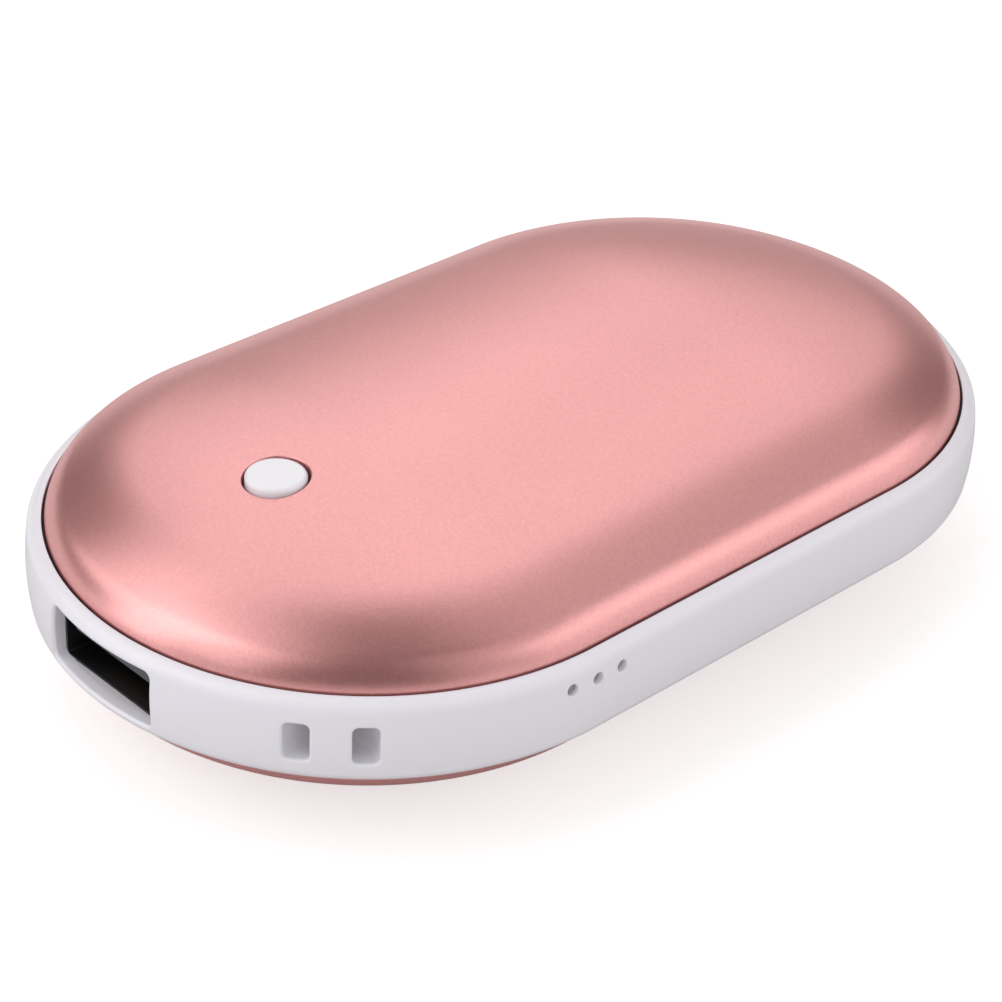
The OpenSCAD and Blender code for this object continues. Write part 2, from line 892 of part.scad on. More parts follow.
module switch_housing() {
    color("#2b2c30") lifted() translate([button_x, 0, board_top]) difference() {
        union() {
            block([-switch_w / 2, switch_w / 2], [-switch_w / 2, switch_w / 2], [0, switch_body]);
            for (sy = [-1, 1])
                block([sy * leg_y - leg_w / 2, sy * leg_y + leg_w / 2],
                    [-switch_w / 2 - leg_l, switch_w / 2 + leg_l], [0, leg_t]);
        }
        translate([0, 0, switch_body - plunger_sink - button_travel - hook_gap])
            cylinder(d = plunger_d + 2 * run_gap, h = switch_body);
    }
}

module switch_plunger() {
    color("#3a3b40") lifted() translate([button_x, 0, board_top + switch_body - plunger_sink])
        cylinder(d = plunger_d, h = plunger_top - board_top - switch_body + plunger_sink);
}

// Lights and their guide

led_w = 1.6;
led_d = 0.8;
led_h = 0.7;
guide_gap = 0.4;
guide_t = 1.8;
guide_end = 1.1;
guide_over = 0.8;
guide_side = plan_r(light_x - guide_end, 0);
guide_y = -sqrt(pow(inner_r - guide_gap, 2) - pow(guide_side, 2));
led_y = guide_y + guide_t / 2;

module indicator_leds() {
    color("#f2e9c2") lifted() for (i = [0:2])
        translate([light_x + i * light_pitch, led_y, board_top])
            block([-led_w / 2, led_w / 2], [-led_d / 2, led_d / 2], [0, led_h]);
}

module light_guide() {
    color("#dfe6ee", 0.6) lifted() {
        block([light_x - guide_end, light_x + 2 * light_pitch + guide_end], [guide_y, guide_y + guide_t],
            [board_top + led_h + run_gap, light_rise + guide_over]);
        for (i = [0:2])
            translate([light_x + i * light_pitch, guide_y + touch, light_rise]) rotate([90, 0, 0])
                cylinder(d = light_d, h = ring_r - light_sink + guide_y);
    }
}

// Parts on the board

coil_setback = 13.2;
coil_w = 6;
coil_h = 3;
coil_r = 1.2;
part_gap = 0.8;

// A part on the board, beside the charging output, at a distance from the tip
module beside_output(setback, side, w) {
    translate([tip_x + setback, side * (socket_w / 2 + part_gap + w / 2), board_top]) children();
}

module inductor() {
    color("#3d3f45") lifted() beside_output(coil_setback, -1, coil_w)
        linear_extrude(coil_h) rounded(coil_w, coil_w, coil_r);
}

// Distance from the tip, then length, width and height
heater_chip = [17.9, 5, 5, 0.9];
power_chip = [20.4, 5, 4, 1.5];

module chip(size, side) {
    beside_output(size[0], side, size[2])
        block([-size[1] / 2, size[1] / 2], [-size[2] / 2, size[2] / 2], [0, size[3]]);
}

module control_chips() {
    color("#1e1f22") lifted() {
        chip(heater_chip, 1);
        chip(power_chip, -1);
    }
}

can_d = 4;
can_h = 4.4;
can_inset = 3.6;
can_gap = 1.5;
can_x = board_x - can_inset;
input_can_y = input_mouth - input_l - can_gap - can_d / 2;
output_can_y = -socket_w / 2 - part_gap - power_chip[2] - can_gap - can_d / 2;
tiny_setbacks = [8.9, 24.3];
tiny_size = [1.2, 2, 1];

module capacitors() {
    color("#a9acb3") lifted() {
        for (y = [input_can_y, output_can_y])
            translate([can_x, y, board_top]) cylinder(d = can_d, h = can_h);
        for (setback = tiny_setbacks, side = [-1, 1])
            beside_output(setback, side, tiny_size.y)
                translate([-tiny_size.x / 2, -tiny_size.y / 2, 0]) cube(tiny_size);
    }
}

mid_frame();
top_shell();
bottom_shell();
top_carrier();
bottom_carrier();
top_heater();
bottom_heater();
top_pad();
bottom_pad();
upper_cell();
lower_cell();
cell_guard_board();
cell_tabs();
battery_lead_red();
battery_lead_black();
top_heater_leads();
bottom_heater_leads();
thermistor();
main_board();
board_screws();
usb_socket_shell();
usb_socket_tongue();
usb_contacts();
input_socket_shell();
input_socket_tongue();
switch_housing();
switch_plunger();
power_button();
indicator_leds();
light_guide();
inductor();
control_chips();
capacitors();
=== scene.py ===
# %% [markdown]
# # A rechargeable hand warmer
# Two domed metal shells sit on a moulded band. A button lies flush in the upper
# shell, and the band holds a charging output, a lanyard bar and three lights.
# The solids come first, as a fixed frame. This lesson dresses them: smooth shells
# and a band with soft edges, then finishes, light and a camera.

# %% Load the frame
import json
from math import acos, atan2, copysign, cos, dist, hypot, pi, radians, sin, sqrt

import bmesh
import bpy
from mathutils import Matrix, Vector
from mathutils.geometry import delaunay_2d_cdt


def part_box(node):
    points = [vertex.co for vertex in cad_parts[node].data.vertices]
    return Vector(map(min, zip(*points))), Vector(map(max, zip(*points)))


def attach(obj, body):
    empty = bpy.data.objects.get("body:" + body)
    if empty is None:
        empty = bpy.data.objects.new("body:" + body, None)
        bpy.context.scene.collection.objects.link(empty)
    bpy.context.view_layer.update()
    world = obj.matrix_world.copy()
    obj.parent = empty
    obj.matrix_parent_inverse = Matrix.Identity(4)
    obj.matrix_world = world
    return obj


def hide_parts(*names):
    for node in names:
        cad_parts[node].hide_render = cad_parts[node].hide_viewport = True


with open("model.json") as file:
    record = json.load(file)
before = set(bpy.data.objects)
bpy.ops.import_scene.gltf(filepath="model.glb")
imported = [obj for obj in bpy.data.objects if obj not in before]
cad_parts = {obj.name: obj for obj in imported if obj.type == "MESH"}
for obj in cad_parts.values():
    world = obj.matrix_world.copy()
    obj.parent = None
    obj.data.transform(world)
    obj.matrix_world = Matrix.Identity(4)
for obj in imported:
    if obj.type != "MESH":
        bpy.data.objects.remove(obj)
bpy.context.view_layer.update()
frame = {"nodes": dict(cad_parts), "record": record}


# %% [markdown]
# ## Camera
# The camera stands where the photograph's stood: in front of the output's corner,
# looking down at about a third of a right angle. Its three directions are written
# as the columns of a matrix, so that nothing is left to a tracking constraint.

# %% Camera
eye = Vector((-0.158664, -0.157942, 0.150607))
to_right = Vector((0.727797, -0.684654, 0.039504))
to_up = Vector((0.344334, 0.414633, 0.842326))
to_back = Vector((-0.593081, -0.599440, 0.537519))


def into_scene(name, data):
    """Makes an object of a camera, a lamp or a mesh, and links it to the scene."""
    thing = bpy.data.objects.new(name, data)
    bpy.context.scene.collection.objects.link(thing)
    return thing


camera_data = bpy.data.cameras.new("camera")
camera_data.lens = 102.312
camera_data.sensor_width = 36
camera_data.clip_start = 0.01
camera = into_scene("camera", camera_data)
turn = Matrix((to_right, to_up, to_back)).transposed()
camera.matrix_world = Matrix.Translation(eye) @ turn.to_4x4()
bpy.context.scene.camera = camera
print("camera at", [round(v, 4) for v in eye], "lens", camera_data.lens)

# %% [markdown]
# ## Sizes
# The same millimetres as in the part's source, so that each piece lies where its
# solid does. Radii are taken from the centre of either round end, which lies
# `SPINE` from the middle; heights from the middle of the band, and `MID` lifts them.

# %% Sizes
MM = 0.001
SPINE = 19.0
RING_R, LIP_R, SKIN_R = 29.8, 28.25, 28.3  # the band's outside, its lip, its skin's inside
SEAM_R, SEAM_Z, LEDGE_Z = 28.0, 4.0, 3.4
MID = 11.425
TOP_Z, CROWN_R, EDGE_R, WALL = 11.575, 86.0, 5.8, 1.0
SIDE_R, SHOULDER_R = 20.0, 1.3
FLAT_Z = 11.425
BUTTON_X, HOLE_R, BUTTON_R = -29.2, 2.95, 2.7


def inner_centre(c, r1, p, r2):
    """Centre of the arc of radius r2 that ends in p and touches the arc of r1 about c inside."""
    d = Vector(p) - Vector(c)
    u = d.normalized()
    a = ((r1 - r2) ** 2 - r2 ** 2 + d.length_squared) / (2 * d.length)
    return Vector(c) + a * u + sqrt((r1 - r2) ** 2 - a * a) * Vector((-u.y, u.x))


CROWN_C = Vector((0, TOP_Z - CROWN_R))
EDGE_C = inner_centre(CROWN_C, CROWN_R, (SEAM_R, SEAM_Z), EDGE_R)
SIDE_C = Vector((RING_R - SIDE_R, 0))
SHOULDER_Z = SEAM_Z - SHOULDER_R
SHOULDER_C = Vector((SIDE_C.x + sqrt((SIDE_R - SHOULDER_R) ** 2 - SHOULDER_Z ** 2), SHOULDER_Z))
print("edge centre", EDGE_C[:], "shoulder centre", SHOULDER_C[:])

# %% [markdown]
# ## Sections
# A section is a row of points in radius and height. The shell's runs from the
# crown over the edge to the rim and back along the inside; the band's goes once
# round. Satin metal shows every facet, and every jump in curvature too, so arcs
# are stepped finely, and the crown turns into the tight edge over a third arc
# between them. That moves the solid's surface by 0.3 mm at most.

# %% Sections


def arc(centre, radius, start, end, steps):
    """Points of an arc; angles are measured from straight up, towards the outside."""
    for k in range(steps + 1):
        a = start + (end - start) * k / steps
        yield (centre[0] + radius * sin(a), centre[1] + radius * cos(a))


def without_doubles(points, gap=1e-4):
    kept = []
    for p in points:
        if not kept or dist(p, kept[-1]) > gap:
            kept.append(p)
    return kept


# %% The shell's section
TANGENT = atan2(EDGE_C.x, EDGE_C.y - CROWN_C.y)
SLOPES = [radians(a) for a in (13, 32, 77)]


def last_two_radii(first, slopes, reach, drop):
    """Radii of the second and third of three arcs in a row that end at a reach and a drop."""
    s, c = [sin(a) for a in slopes], [cos(a) for a in slopes]
    reach, drop = reach - first * s[0], drop - first * (1 - c[0])
    third = (drop * (s[1] - s[0]) - reach * (c[0] - c[1])) / (
        (c[1] - c[2]) * (s[1] - s[0]) - (s[2] - s[1]) * (c[0] - c[1]))
    return (reach - (s[2] - s[1]) * third) / (s[1] - s[0]), third


TOP_R = 88.0
TOP_C = Vector((0, TOP_Z - TOP_R))
TURN_R, LAST_R = last_two_radii(TOP_R, SLOPES, SEAM_R, TOP_Z - SEAM_Z)
TURN_C = TOP_C + (TOP_R - TURN_R) * Vector((sin(SLOPES[0]), cos(SLOPES[0])))
LAST_C = TURN_C + (TURN_R - LAST_R) * Vector((sin(SLOPES[1]), cos(SLOPES[1])))


def shell_section(flat_z=None):
    """The section of a shell; a flat_z cuts its crown off level at that height."""
    rim_cut = 0.06
    first = 0.0 if flat_z is None else acos((flat_z - TOP_C.y) / TOP_R)
    outside = [] if flat_z is None else [(0, flat_z), (TOP_R * sin(first) / 2, flat_z)]
    outside += list(arc(TOP_C, TOP_R, first, SLOPES[0], steps=34))
    outside += list(arc(TURN_C, TURN_R, SLOPES[0], SLOPES[1], steps=24))
    outside += list(arc(LAST_C, LAST_R, SLOPES[1], SLOPES[2], steps=26))
    outside += [(SEAM_R, LEDGE_Z + rim_cut), (SEAM_R - rim_cut, LEDGE_Z)]
    inner_rim = acos((LEDGE_Z - EDGE_C.y) / (EDGE_R - WALL))
    inside = list(arc(EDGE_C, EDGE_R - WALL, inner_rim, TANGENT, steps=12))
    inside += list(arc(CROWN_C, CROWN_R - WALL, TANGENT, 0, steps=20))
    return without_doubles(outside + inside)


# %% The band's section


def band_radius(z):
    """How far out the band's surface lies at a height."""
    z = abs(z)
    tangent_z = SIDE_R * SHOULDER_Z / (SIDE_R - SHOULDER_R)
    if z <= tangent_z:
        return SIDE_C.x + sqrt(SIDE_R ** 2 - z * z)
    return SHOULDER_C.x + sqrt(max(SHOULDER_R ** 2 - (z - SHOULDER_Z) ** 2, 0))


def band_section():
    lip_round, wall_z, foot_z = 0.05, 2.9, 3.15
    turn_in = atan2(SHOULDER_C.x - SIDE_C.x, SHOULDER_Z)
    upper = [(SEAM_R, LEDGE_Z), (LIP_R, LEDGE_Z), (LIP_R, SEAM_Z - lip_round)]
    upper += list(arc((LIP_R + lip_round, SEAM_Z - lip_round), lip_round, -pi / 2, 0, steps=3))
    upper += list(arc(SHOULDER_C, SHOULDER_R, 0, turn_in, steps=16))
    side = list(arc(SIDE_C, SIDE_R, turn_in, pi / 2, steps=12))
    lower = [(r, -z) for r, z in reversed(upper + side)]
    wall = [(SKIN_R, z) for z in (-wall_z, -1.9, -1, 0, 1, 1.9, wall_z)]
    inside = [(SEAM_R, -foot_z)] + wall + [(SEAM_R, foot_z), (SEAM_R, LEDGE_Z)]
    return without_doubles(upper + side + lower + inside)


print("arcs of the shell:", TOP_R, round(TURN_R, 2), round(LAST_R, 2))
print("section points:", len(shell_section()), "shell,", len(band_section()), "band")

# %% [markdown]
# ## One tree for all that goes round
# Shells and band share one rule: a section carried round a plan of two half
# rounds and two straights. Geometry Nodes say it once. A grid gets one row for
# each step of the plan and one column for each point of the section, and every
# vertex is then put where its two numbers say. Sizes are named inputs.

# %% Helpers for node trees


def wire(node, inputs):
    """Links or fills a node's inputs; a node lends its first output, a colour gets its alpha."""
    for key, value in inputs.items():
        if isinstance(value, bpy.types.Node):
            value = value.outputs[0]
        if isinstance(value, bpy.types.NodeSocket):
            node.id_data.links.new(value, node.inputs[key])
        elif node.inputs[key].type == "RGBA":
            node.inputs[key].default_value = (*value, 1)
        else:
            node.inputs[key].default_value = value


def add(tree, kind, inputs=None, **settings):
    """Adds a node to a tree, sets it up and wires it."""
    node = tree.nodes.new(kind)
    for name, value in settings.items():
        setattr(node, name, value)
    wire(node, inputs or {})
    return node


def calc(operation, *values):
    """Calculates with sockets and numbers, in the tree that its first socket belongs to."""
    tree = next(v.id_data for v in values if isinstance(v, bpy.types.NodeSocket))
    return add(tree, "ShaderNodeMath", dict(enumerate(values)), operation=operation).outputs[0]


def times(a, b):
    return calc("MULTIPLY", a, b)


def clamped(value, low, high, to_low, to_high):
    """Takes low to to_low and high to to_high, and holds the value there beyond them."""
    span = {0: value, 1: low, 2: high, 3: to_low, 4: to_high}
    return add(value.id_data, "ShaderNodeMapRange", span, clamp=True).outputs[0]


# %% Helpers for groups


def new_group(name, kind, inputs, outputs):
    """A node group with named sockets, and the sockets by which its inputs come in."""
    group = bpy.data.node_groups.new(name, kind)
    for in_out, sockets in (("INPUT", inputs), ("OUTPUT", outputs)):
        for label, socket in sockets.items():
            group.interface.new_socket(
                name=label, in_out=in_out, socket_type="NodeSocket" + socket)
    return group, add(group, "NodeGroupInput").outputs


def new_tree(name, **inputs):
    sockets = {label.replace("_", " "): kind for label, kind in inputs.items()}
    return new_group(name, "GeometryNodeTree", sockets, {"Geometry": "Geometry"})


def end_tree(tree, geometry, finish):
    real = add(tree, "GeometryNodeRealizeInstances", {"Geometry": geometry})
    dressed = add(tree, "GeometryNodeSetMaterial", {"Geometry": real, "Material": finish})
    add(tree, "NodeGroupOutput", {"Geometry": dressed})
    print("tree:", tree.name, len(tree.nodes), "nodes")


# %% The tree that carries a section round the plan
tree, given = new_tree("round_the_plan", Geometry="Geometry", Spine="Float", End_steps="Int",
                       Side_steps="Int", Section="Object", Finish="Material")
section = add(tree, "GeometryNodeObjectInfo", {"Object": given["Section"]}).outputs["Geometry"]
columns = add(tree, "GeometryNodeAttributeDomainSize", {0: section},
              component="MESH").outputs["Point Count"]
half = calc("ADD", given["End steps"], given["Side steps"])
rows = calc("MULTIPLY_ADD", half, 2.0, 1.0)
grid = add(tree, "GeometryNodeMeshGrid", {"Vertices X": rows, "Vertices Y": columns})
index = add(tree, "GeometryNodeInputIndex").outputs[0]
row = calc("FLOOR", calc("DIVIDE", calc("ADD", index, 0.5), columns))
column = calc("SUBTRACT", index, times(row, columns))
point = add(tree, "GeometryNodeSampleIndex", {
    "Geometry": section, "Value": add(tree, "GeometryNodeInputPosition"), "Index": column},
    data_type="FLOAT_VECTOR", clamp=True)
radius, height = add(tree, "ShaderNodeSeparateXYZ", {0: point}).outputs[:2]
lap = calc("FLOOR", calc("DIVIDE", calc("ADD", row, 0.5), half))
step = calc("SUBTRACT", row, times(lap, half))
last = calc("SUBTRACT", given["End steps"], 1.0)
angle = clamped(step, 0.0, last, -pi / 2, pi / 2)
along = clamped(step, last, half, 1.0, -1.0)
way = calc("MULTIPLY_ADD", calc("MODULO", lap, 2.0), -2.0, 1.0)
out_x = times(radius, calc("COSINE", angle))
out_y = times(radius, calc("SINE", angle))
x = times(way, calc("MULTIPLY_ADD", along, given["Spine"], out_x))
y = times(way, out_y)
place = add(tree, "ShaderNodeCombineXYZ", {0: x, 1: y, 2: height})
placed = add(tree, "GeometryNodeSetPosition", {"Geometry": grid, "Position": place})
merged = add(tree, "GeometryNodeMergeByDistance", {"Geometry": placed, "Distance": 1e-6})
end_tree(tree, merged, given["Finish"])
round_tree = tree

# %% Running a tree and keeping its mesh


def evaluated(thing):
    """The mesh that an object's modifiers make; the object itself goes."""
    bpy.context.view_layer.update()
    shaped = thing.evaluated_get(bpy.context.evaluated_depsgraph_get())
    mesh = bpy.data.meshes.new_from_object(shaped)
    bpy.data.objects.remove(thing)
    return mesh


def plain_mesh(name, tree, values, points=()):
    """Runs a tree on a few points, or none, and returns the result as a plain mesh."""
    host = into_scene(name + "_host", bpy.data.meshes.new(name + "_host"))
    host.data.from_pydata(list(points), [], [])
    modifier = host.modifiers.new(name, "NODES")
    modifier.node_group = tree
    sockets = {s.name: s.identifier for s in tree.interface.items_tree if s.in_out == "INPUT"}
    for label, value in values.items():
        modifier[sockets[label]] = value
    host.data.update()
    mesh = evaluated(host)
    mesh.name = name
    return mesh


def bmesh_of(mesh):
    bm = bmesh.new()
    bm.from_mesh(mesh)
    return bm


def mesh_of(name, bm):
    """A new mesh of what a bmesh holds; the bmesh is freed."""
    mesh = bpy.data.meshes.new(name)
    bm.to_mesh(mesh)
    bm.free()
    return mesh


def carried_round(name, section, end_steps, side_steps, flip=1):
    """A section in millimetres, carried round the plan as a bmesh in metres."""
    line = bpy.data.meshes.new(name + "_section")
    line.from_pydata([(r * MM, (flip * z + MID) * MM, 0) for r, z in section], [], [])
    holder = into_scene(name + "_section", line)
    bm = bmesh_of(plain_mesh(name, round_tree, {
        "Spine": SPINE * MM, "End steps": end_steps, "Side steps": side_steps,
        "Section": holder}))
    bpy.data.objects.remove(holder)
    bmesh.ops.dissolve_degenerate(bm, dist=1e-7, edges=bm.edges)
    bmesh.ops.recalc_face_normals(bm, faces=bm.faces)
    print(name, "carried round:", len(bm.faces), "faces")
    return bm


# %% Keeping a piece
pieces = []


def keep(name, bm, slot, body="warmer", replaces=(), sharp=38):
    """Turns a bmesh into a piece: smooth but for its sharp edges, and riding on its body."""
    bm.normal_update()
    mesh = mesh_of(name, bm)
    mesh.shade_smooth()
    mesh.set_sharp_from_angle(angle=radians(sharp))
    piece = into_scene(name, mesh)
    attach(piece, body)
    if replaces:
        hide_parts(*replaces)
    pieces.append((piece, slot))
    print(name, "rides on", body, "with", len(mesh.polygons), "faces")


# %% [markdown]
# ## Openings with soft edges
# A moulded window has no knife edge: its rim rolls in. A boolean cut followed by
# a bevel would leave slivers on these curved skins. Here the skin round the
# opening is taken away and filled afresh, between the grid that stays and a ring
# of points that follows the opening, and the rim's roll and the wall are lofted
# from that ring. The same helper serves the window, the slots and the small holes.
# All of it is reckoned in a view: an origin and the directions across, up and in.

# %% Helpers for openings


def lift(view, a, b, depth):
    """The place that lies so many millimetres across, up and in."""
    origin, across, up, inward = view
    return origin + (across * a + up * b + inward * depth) * MM


def seen(view, place):
    """How many millimetres a place lies across, up and in."""
    return [(place - view[0]).dot(axis) / MM for axis in view[1:]]


def inside_loop(p, loop):
    inside = False
    for (x0, y0), (x1, y1) in zip(loop[-1:] + loop[:-1], loop):
        if (y0 > p[1]) != (y1 > p[1]) and p[0] < (x1 - x0) * (p[1] - y0) / (y1 - y0) + x0:
            inside = not inside
    return inside


def clear_patch(bm, view, reach, box, facing):
    """Takes away one skin's faces inside a box, and returns the loop that is left round the gap."""
    least_facing, near = 0.05, 0.15

    def on_patch(vert):
        a, b, depth = seen(view, vert.co)
        return (box[0] < a < box[1] and box[2] < b < box[3]
                and abs(depth - reach(a, b)) <= near)

    doomed = [face for face in bm.faces
              if face.normal.dot(view[3]) * facing >= least_facing
              and all(on_patch(vert) for vert in face.verts)]
    chosen = set(doomed)
    rim = {e for f in doomed for e in f.edges if sum(g in chosen for g in e.link_faces) == 1}
    steps = {}
    for edge in rim:
        for vert in edge.verts:
            steps.setdefault(vert, []).append(edge.other_vert(vert))
    start = next(iter(steps))
    loop, before = [start], None
    while True:
        onward = [v for v in steps[loop[-1]] if v is not before]
        before = loop[-1]
        if onward[0] is start:
            break
        loop.append(onward[0])
        if len(loop) > len(steps):
            raise ValueError("the gap's rim is not one loop")
    bmesh.ops.delete(bm, geom=doomed, context="FACES")
    return loop


# %% Filling a patch


def fill_patch(bm, view, reach, loop, rings, relief):
    """Fills between the loop of old vertices and one or more rings of new ones."""
    flat = [tuple(seen(view, v.co)[:2]) for v in loop]
    points, verts = list(flat), list(loop)
    edges = [(k, (k + 1) % len(loop)) for k in range(len(loop))]
    holes = []
    for ring in rings:
        first = len(points)
        points += [p for p, _ in ring]
        verts += [v for _, v in ring]
        edges += [(first + k, first + (k + 1) % len(ring)) for k in range(len(ring))]
        holes.append([p for p, _ in ring])

    def in_gap(p):
        return inside_loop(p, flat) and not any(inside_loop(p, hole) for hole in holes)

    from_loop, from_ring = 0.2, 0.15
    rims = [q for hole in holes for q in hole]
    for p in relief:
        if (in_gap(p) and min(dist(p, q) for q in flat) > from_loop
                and min(dist(p, q) for q in rims) > from_ring):
            points.append(p)
            verts.append(None)
    spots, _, faces, origins, *_ = delaunay_2d_cdt(
        [Vector(p) for p in points], edges, [], 0, 1e-6)
    made = {}
    for k, spot in enumerate(spots):
        old = verts[origins[k][0]] if origins[k] else None
        made[k] = old or bm.verts.new(lift(view, *spot, reach(*spot)))
    for face in faces:
        if in_gap([sum(spots[k][i] for k in face) / 3 for i in (0, 1)]):
            bm.faces.new([made[k] for k in face])


# %% Opening a hole


def loft(bm, rings):
    """Joins rings that have as many vertices each."""
    for near, far in zip(rings, rings[1:]):
        for k in range(len(near)):
            j = (k + 1) % len(near)
            bm.faces.new([near[k][1], near[j][1], far[j][1], far[k][1]])


def box_round(spots, margin):
    across, up = zip(*spots)
    return min(across) - margin, max(across) + margin, min(up) - margin, max(up) + margin


def rolled(roll, steps=5):
    """How far a rolled rim stands back from its opening, and how deep it lies, step by step."""
    for k in range(steps + 1):
        a = pi / 2 * k / steps
        yield roll * (1 - sin(a)), roll * (1 - cos(a))


def open_through(bm, view, outer, inner, outline, roll, margin):
    """Opens a hole through a skin, with a rolled rim outside and a plain edge inside."""

    def ring(grow, depth_of, sink):
        return [((a, b), bm.verts.new(lift(view, a, b, depth_of(a, b) + sink)))
                for a, b in outline(grow)]

    box = box_round(outline(0), margin)
    outer_loop = clear_patch(bm, view, outer, box, -1)
    inner_loop = clear_patch(bm, view, inner, box, 1)
    rings = [ring(grow, outer, sink) for grow, sink in rolled(roll)]
    rings.append(ring(0, inner, 0))
    relief = [p for grow, stride in ((0.25, 1), (0.6, 2), (1.0, 3))
              for p in outline(roll + grow)[::stride]]
    fill_patch(bm, view, outer, outer_loop, rings[:1], relief)
    fill_patch(bm, view, inner, inner_loop, rings[-1:], [])
    loft(bm, rings)


# %% Outlines


def rounded_outline(w, h, r, gap=0.16):
    """A rounded rectangle about the origin, which can grow with its corners' centres kept."""
    turn_steps = 8
    sides = [(side - 2 * r, max(2, round((side - 2 * r) / gap))) for side in (w, h)]

    def outline(grow):
        spots = []
        for quarter, (cx, cy) in enumerate(((1, 1), (-1, 1), (-1, -1), (1, -1))):
            cx, cy = cx * (w / 2 - r), cy * (h / 2 - r)
            for k in range(turn_steps + 1):
                a = pi / 2 * (quarter + k / turn_steps)
                spots.append((cx + (r + grow) * cos(a), cy + (r + grow) * sin(a)))
            x, y = spots[-1]
            length, count = sides[quarter % 2]
            spots += [(x - length * k / count * sin(a), y + length * k / count * cos(a))
                      for k in range(1, count)]
        return spots

    return outline


def round_outline(r, steps=48):
    turns = [2 * pi * k / steps for k in range(steps)]
    return lambda grow: [((r + grow) * cos(a), (r + grow) * sin(a)) for a in turns]


# %% [markdown]
# ## Shells
# Each shell is one drawn aluminium sheet, 1 mm thick. The upper one has a round
# hole for the button; the lower one rests on a small flat. A block smoothed by
# subdivision would come out uneven in the crown, so the tree carries the exact
# section round, where each arc runs on smoothly from the one before.

# %% Upper shell


def plan_radius(x, y):
    return hypot(max(abs(x) - SPINE, 0), y)


def crown_z(x, y):
    """How high the upper shell's outside lies over a place of the plan."""
    return TOP_C.y + sqrt(TOP_R ** 2 - plan_radius(x, y) ** 2)


def ceiling_z(x, y):
    """How high its inside lies there."""
    return CROWN_C.y + sqrt((CROWN_R - WALL) ** 2 - plan_radius(x, y) ** 2)


shell = carried_round("upper_shell", shell_section(), end_steps=144, side_steps=48)
from_above = (Vector((BUTTON_X, 0, MID)) * MM,
              Vector((1, 0, 0)), Vector((0, 1, 0)), Vector((0, 0, -1)))
open_through(shell, from_above, lambda a, b: -crown_z(BUTTON_X + a, b),
             lambda a, b: -ceiling_z(BUTTON_X + a, b),
             round_outline(HOLE_R, steps=72), roll=0.12, margin=1.6)
bmesh.ops.recalc_face_normals(shell, faces=shell.faces)
keep("upper_shell", shell, "shell", replaces=["top_shell"])

# %% Lower shell
shell = carried_round("lower_shell", shell_section(FLAT_Z), end_steps=144, side_steps=48, flip=-1)
keep("lower_shell", shell, "shell", replaces=["bottom_shell"])

# %% [markdown]
# ## Band
# The band is one white moulding. Its outer skin is carried round by the same
# tree and then opened for the window, the lights and the input. What lies behind
# the skin, the web, the pockets and the bosses, is a copy of the solid with its
# outer 1.5 mm taken off.

# %% Skin of the band
LIGHT_X, LIGHT_PITCH, LIGHT_Z, LIGHT_R = -22.3, 2.76, 1.9, 0.525


def plan_reach(x, y, dx, dy, radius):
    """How far a ray in the plan runs, from a point inside, until it leaves that radius."""
    best = 0.0
    for end in (-SPINE, SPINE):
        px = x - end
        b = px * dx + y * dy
        c = px * px + y * y - radius * radius
        if b * b - c > 0:
            t = -b + sqrt(b * b - c)
            if (px + t * dx) * end >= 0:
                best = max(best, t)
    if abs(dy) > 1e-9:
        t = ((radius if dy > 0 else -radius) - y) / dy
        if t > 0 and abs(x + t * dx) <= SPINE:
            best = max(best, t)
    return best


def band_view(x, y, heading, z=0.0):
    """A view onto the band along a heading, and the depths of its outside and its inside."""
    out = Vector((cos(heading), sin(heading), 0))
    across = Vector((-out.y, out.x, 0))
    view = (Vector((x, y, MID + z)) * MM, across, Vector((0, 0, 1)), -out)

    def depth(radius_of):
        return lambda a, b: -plan_reach(
            x + a * across.x, y + a * across.y, out.x, out.y, radius_of(b + z))

    return view, depth(band_radius), depth(lambda height: SKIN_R)


skin = carried_round("band_skin", band_section(), end_steps=160, side_steps=72)
# name, x and y of the view's origin, heading, height, outline, roll, margin cleared round it
openings = [("window", -SPINE, 0, pi, 0, rounded_outline(13.0, 5.4, 0.7), 0.35, 0.55)]
openings += [("light", LIGHT_X + LIGHT_PITCH * k, -10, -pi / 2, LIGHT_Z,
              round_outline(LIGHT_R, steps=32), 0.14, 0.5) for k in range(3)]
openings += [("input", -26.8, 10, pi / 2, -1.175, rounded_outline(7.9, 2.9, 0.8), 0.2, 0.55)]
for name, x, y, heading, z, outline, roll, margin in openings:
    view, outer, inner = band_view(x, y, heading, z)
    open_through(skin, view, outer, inner, outline, roll, margin)
    print(name, "opened;", len(skin.faces), "faces")

# %% [markdown]
# ## Lanyard bar
# The two slots are the mouths of one tunnel, which bends round a short bar so
# that a cord can be pushed in at one and comes out at the other. So both mouths
# are filled in one patch, and the tunnel is a ring of points turned about the
# bar, mouth to mouth. It lies a hair inside the core's own tunnel, and hides it.
# The skin's inner wall first bulges in behind the bar, so that it clears the bend.

# %% Lanyard tunnel
SLOT_W, SLOT_H, SLOT_R, SLOT_PITCH, BAR_T = 2.25, 3.6, 0.55, 5.8, 1.5
SLOT_ROLL, HAIR = 0.26, 0.02
BEND_R = SLOT_PITCH / 2
BEND_X = RING_R - BAR_T + BEND_R - SLOT_W / 2
BAR_FROM_WINDOW = 22.7  # along the band's outside
BULGE_W, BULGE_H, BULGE_DEPTH = 4.8, 2, -25.6


def soft_spot(spot, share):
    """Draws a point of the slot's outline in, towards a slot with rounder corners."""
    r = 1.0
    halves = (SLOT_W / 2 - HAIR, SLOT_H / 2 - HAIR)
    cx, cy = (copysign(max(abs(v) - (h - r), 0), v) for v, h in zip(spot, halves))
    reach = hypot(cx, cy)
    pull = max(reach - r, 0) * share / (reach or 1)
    return spot[0] - cx * pull, spot[1] - cy * pull


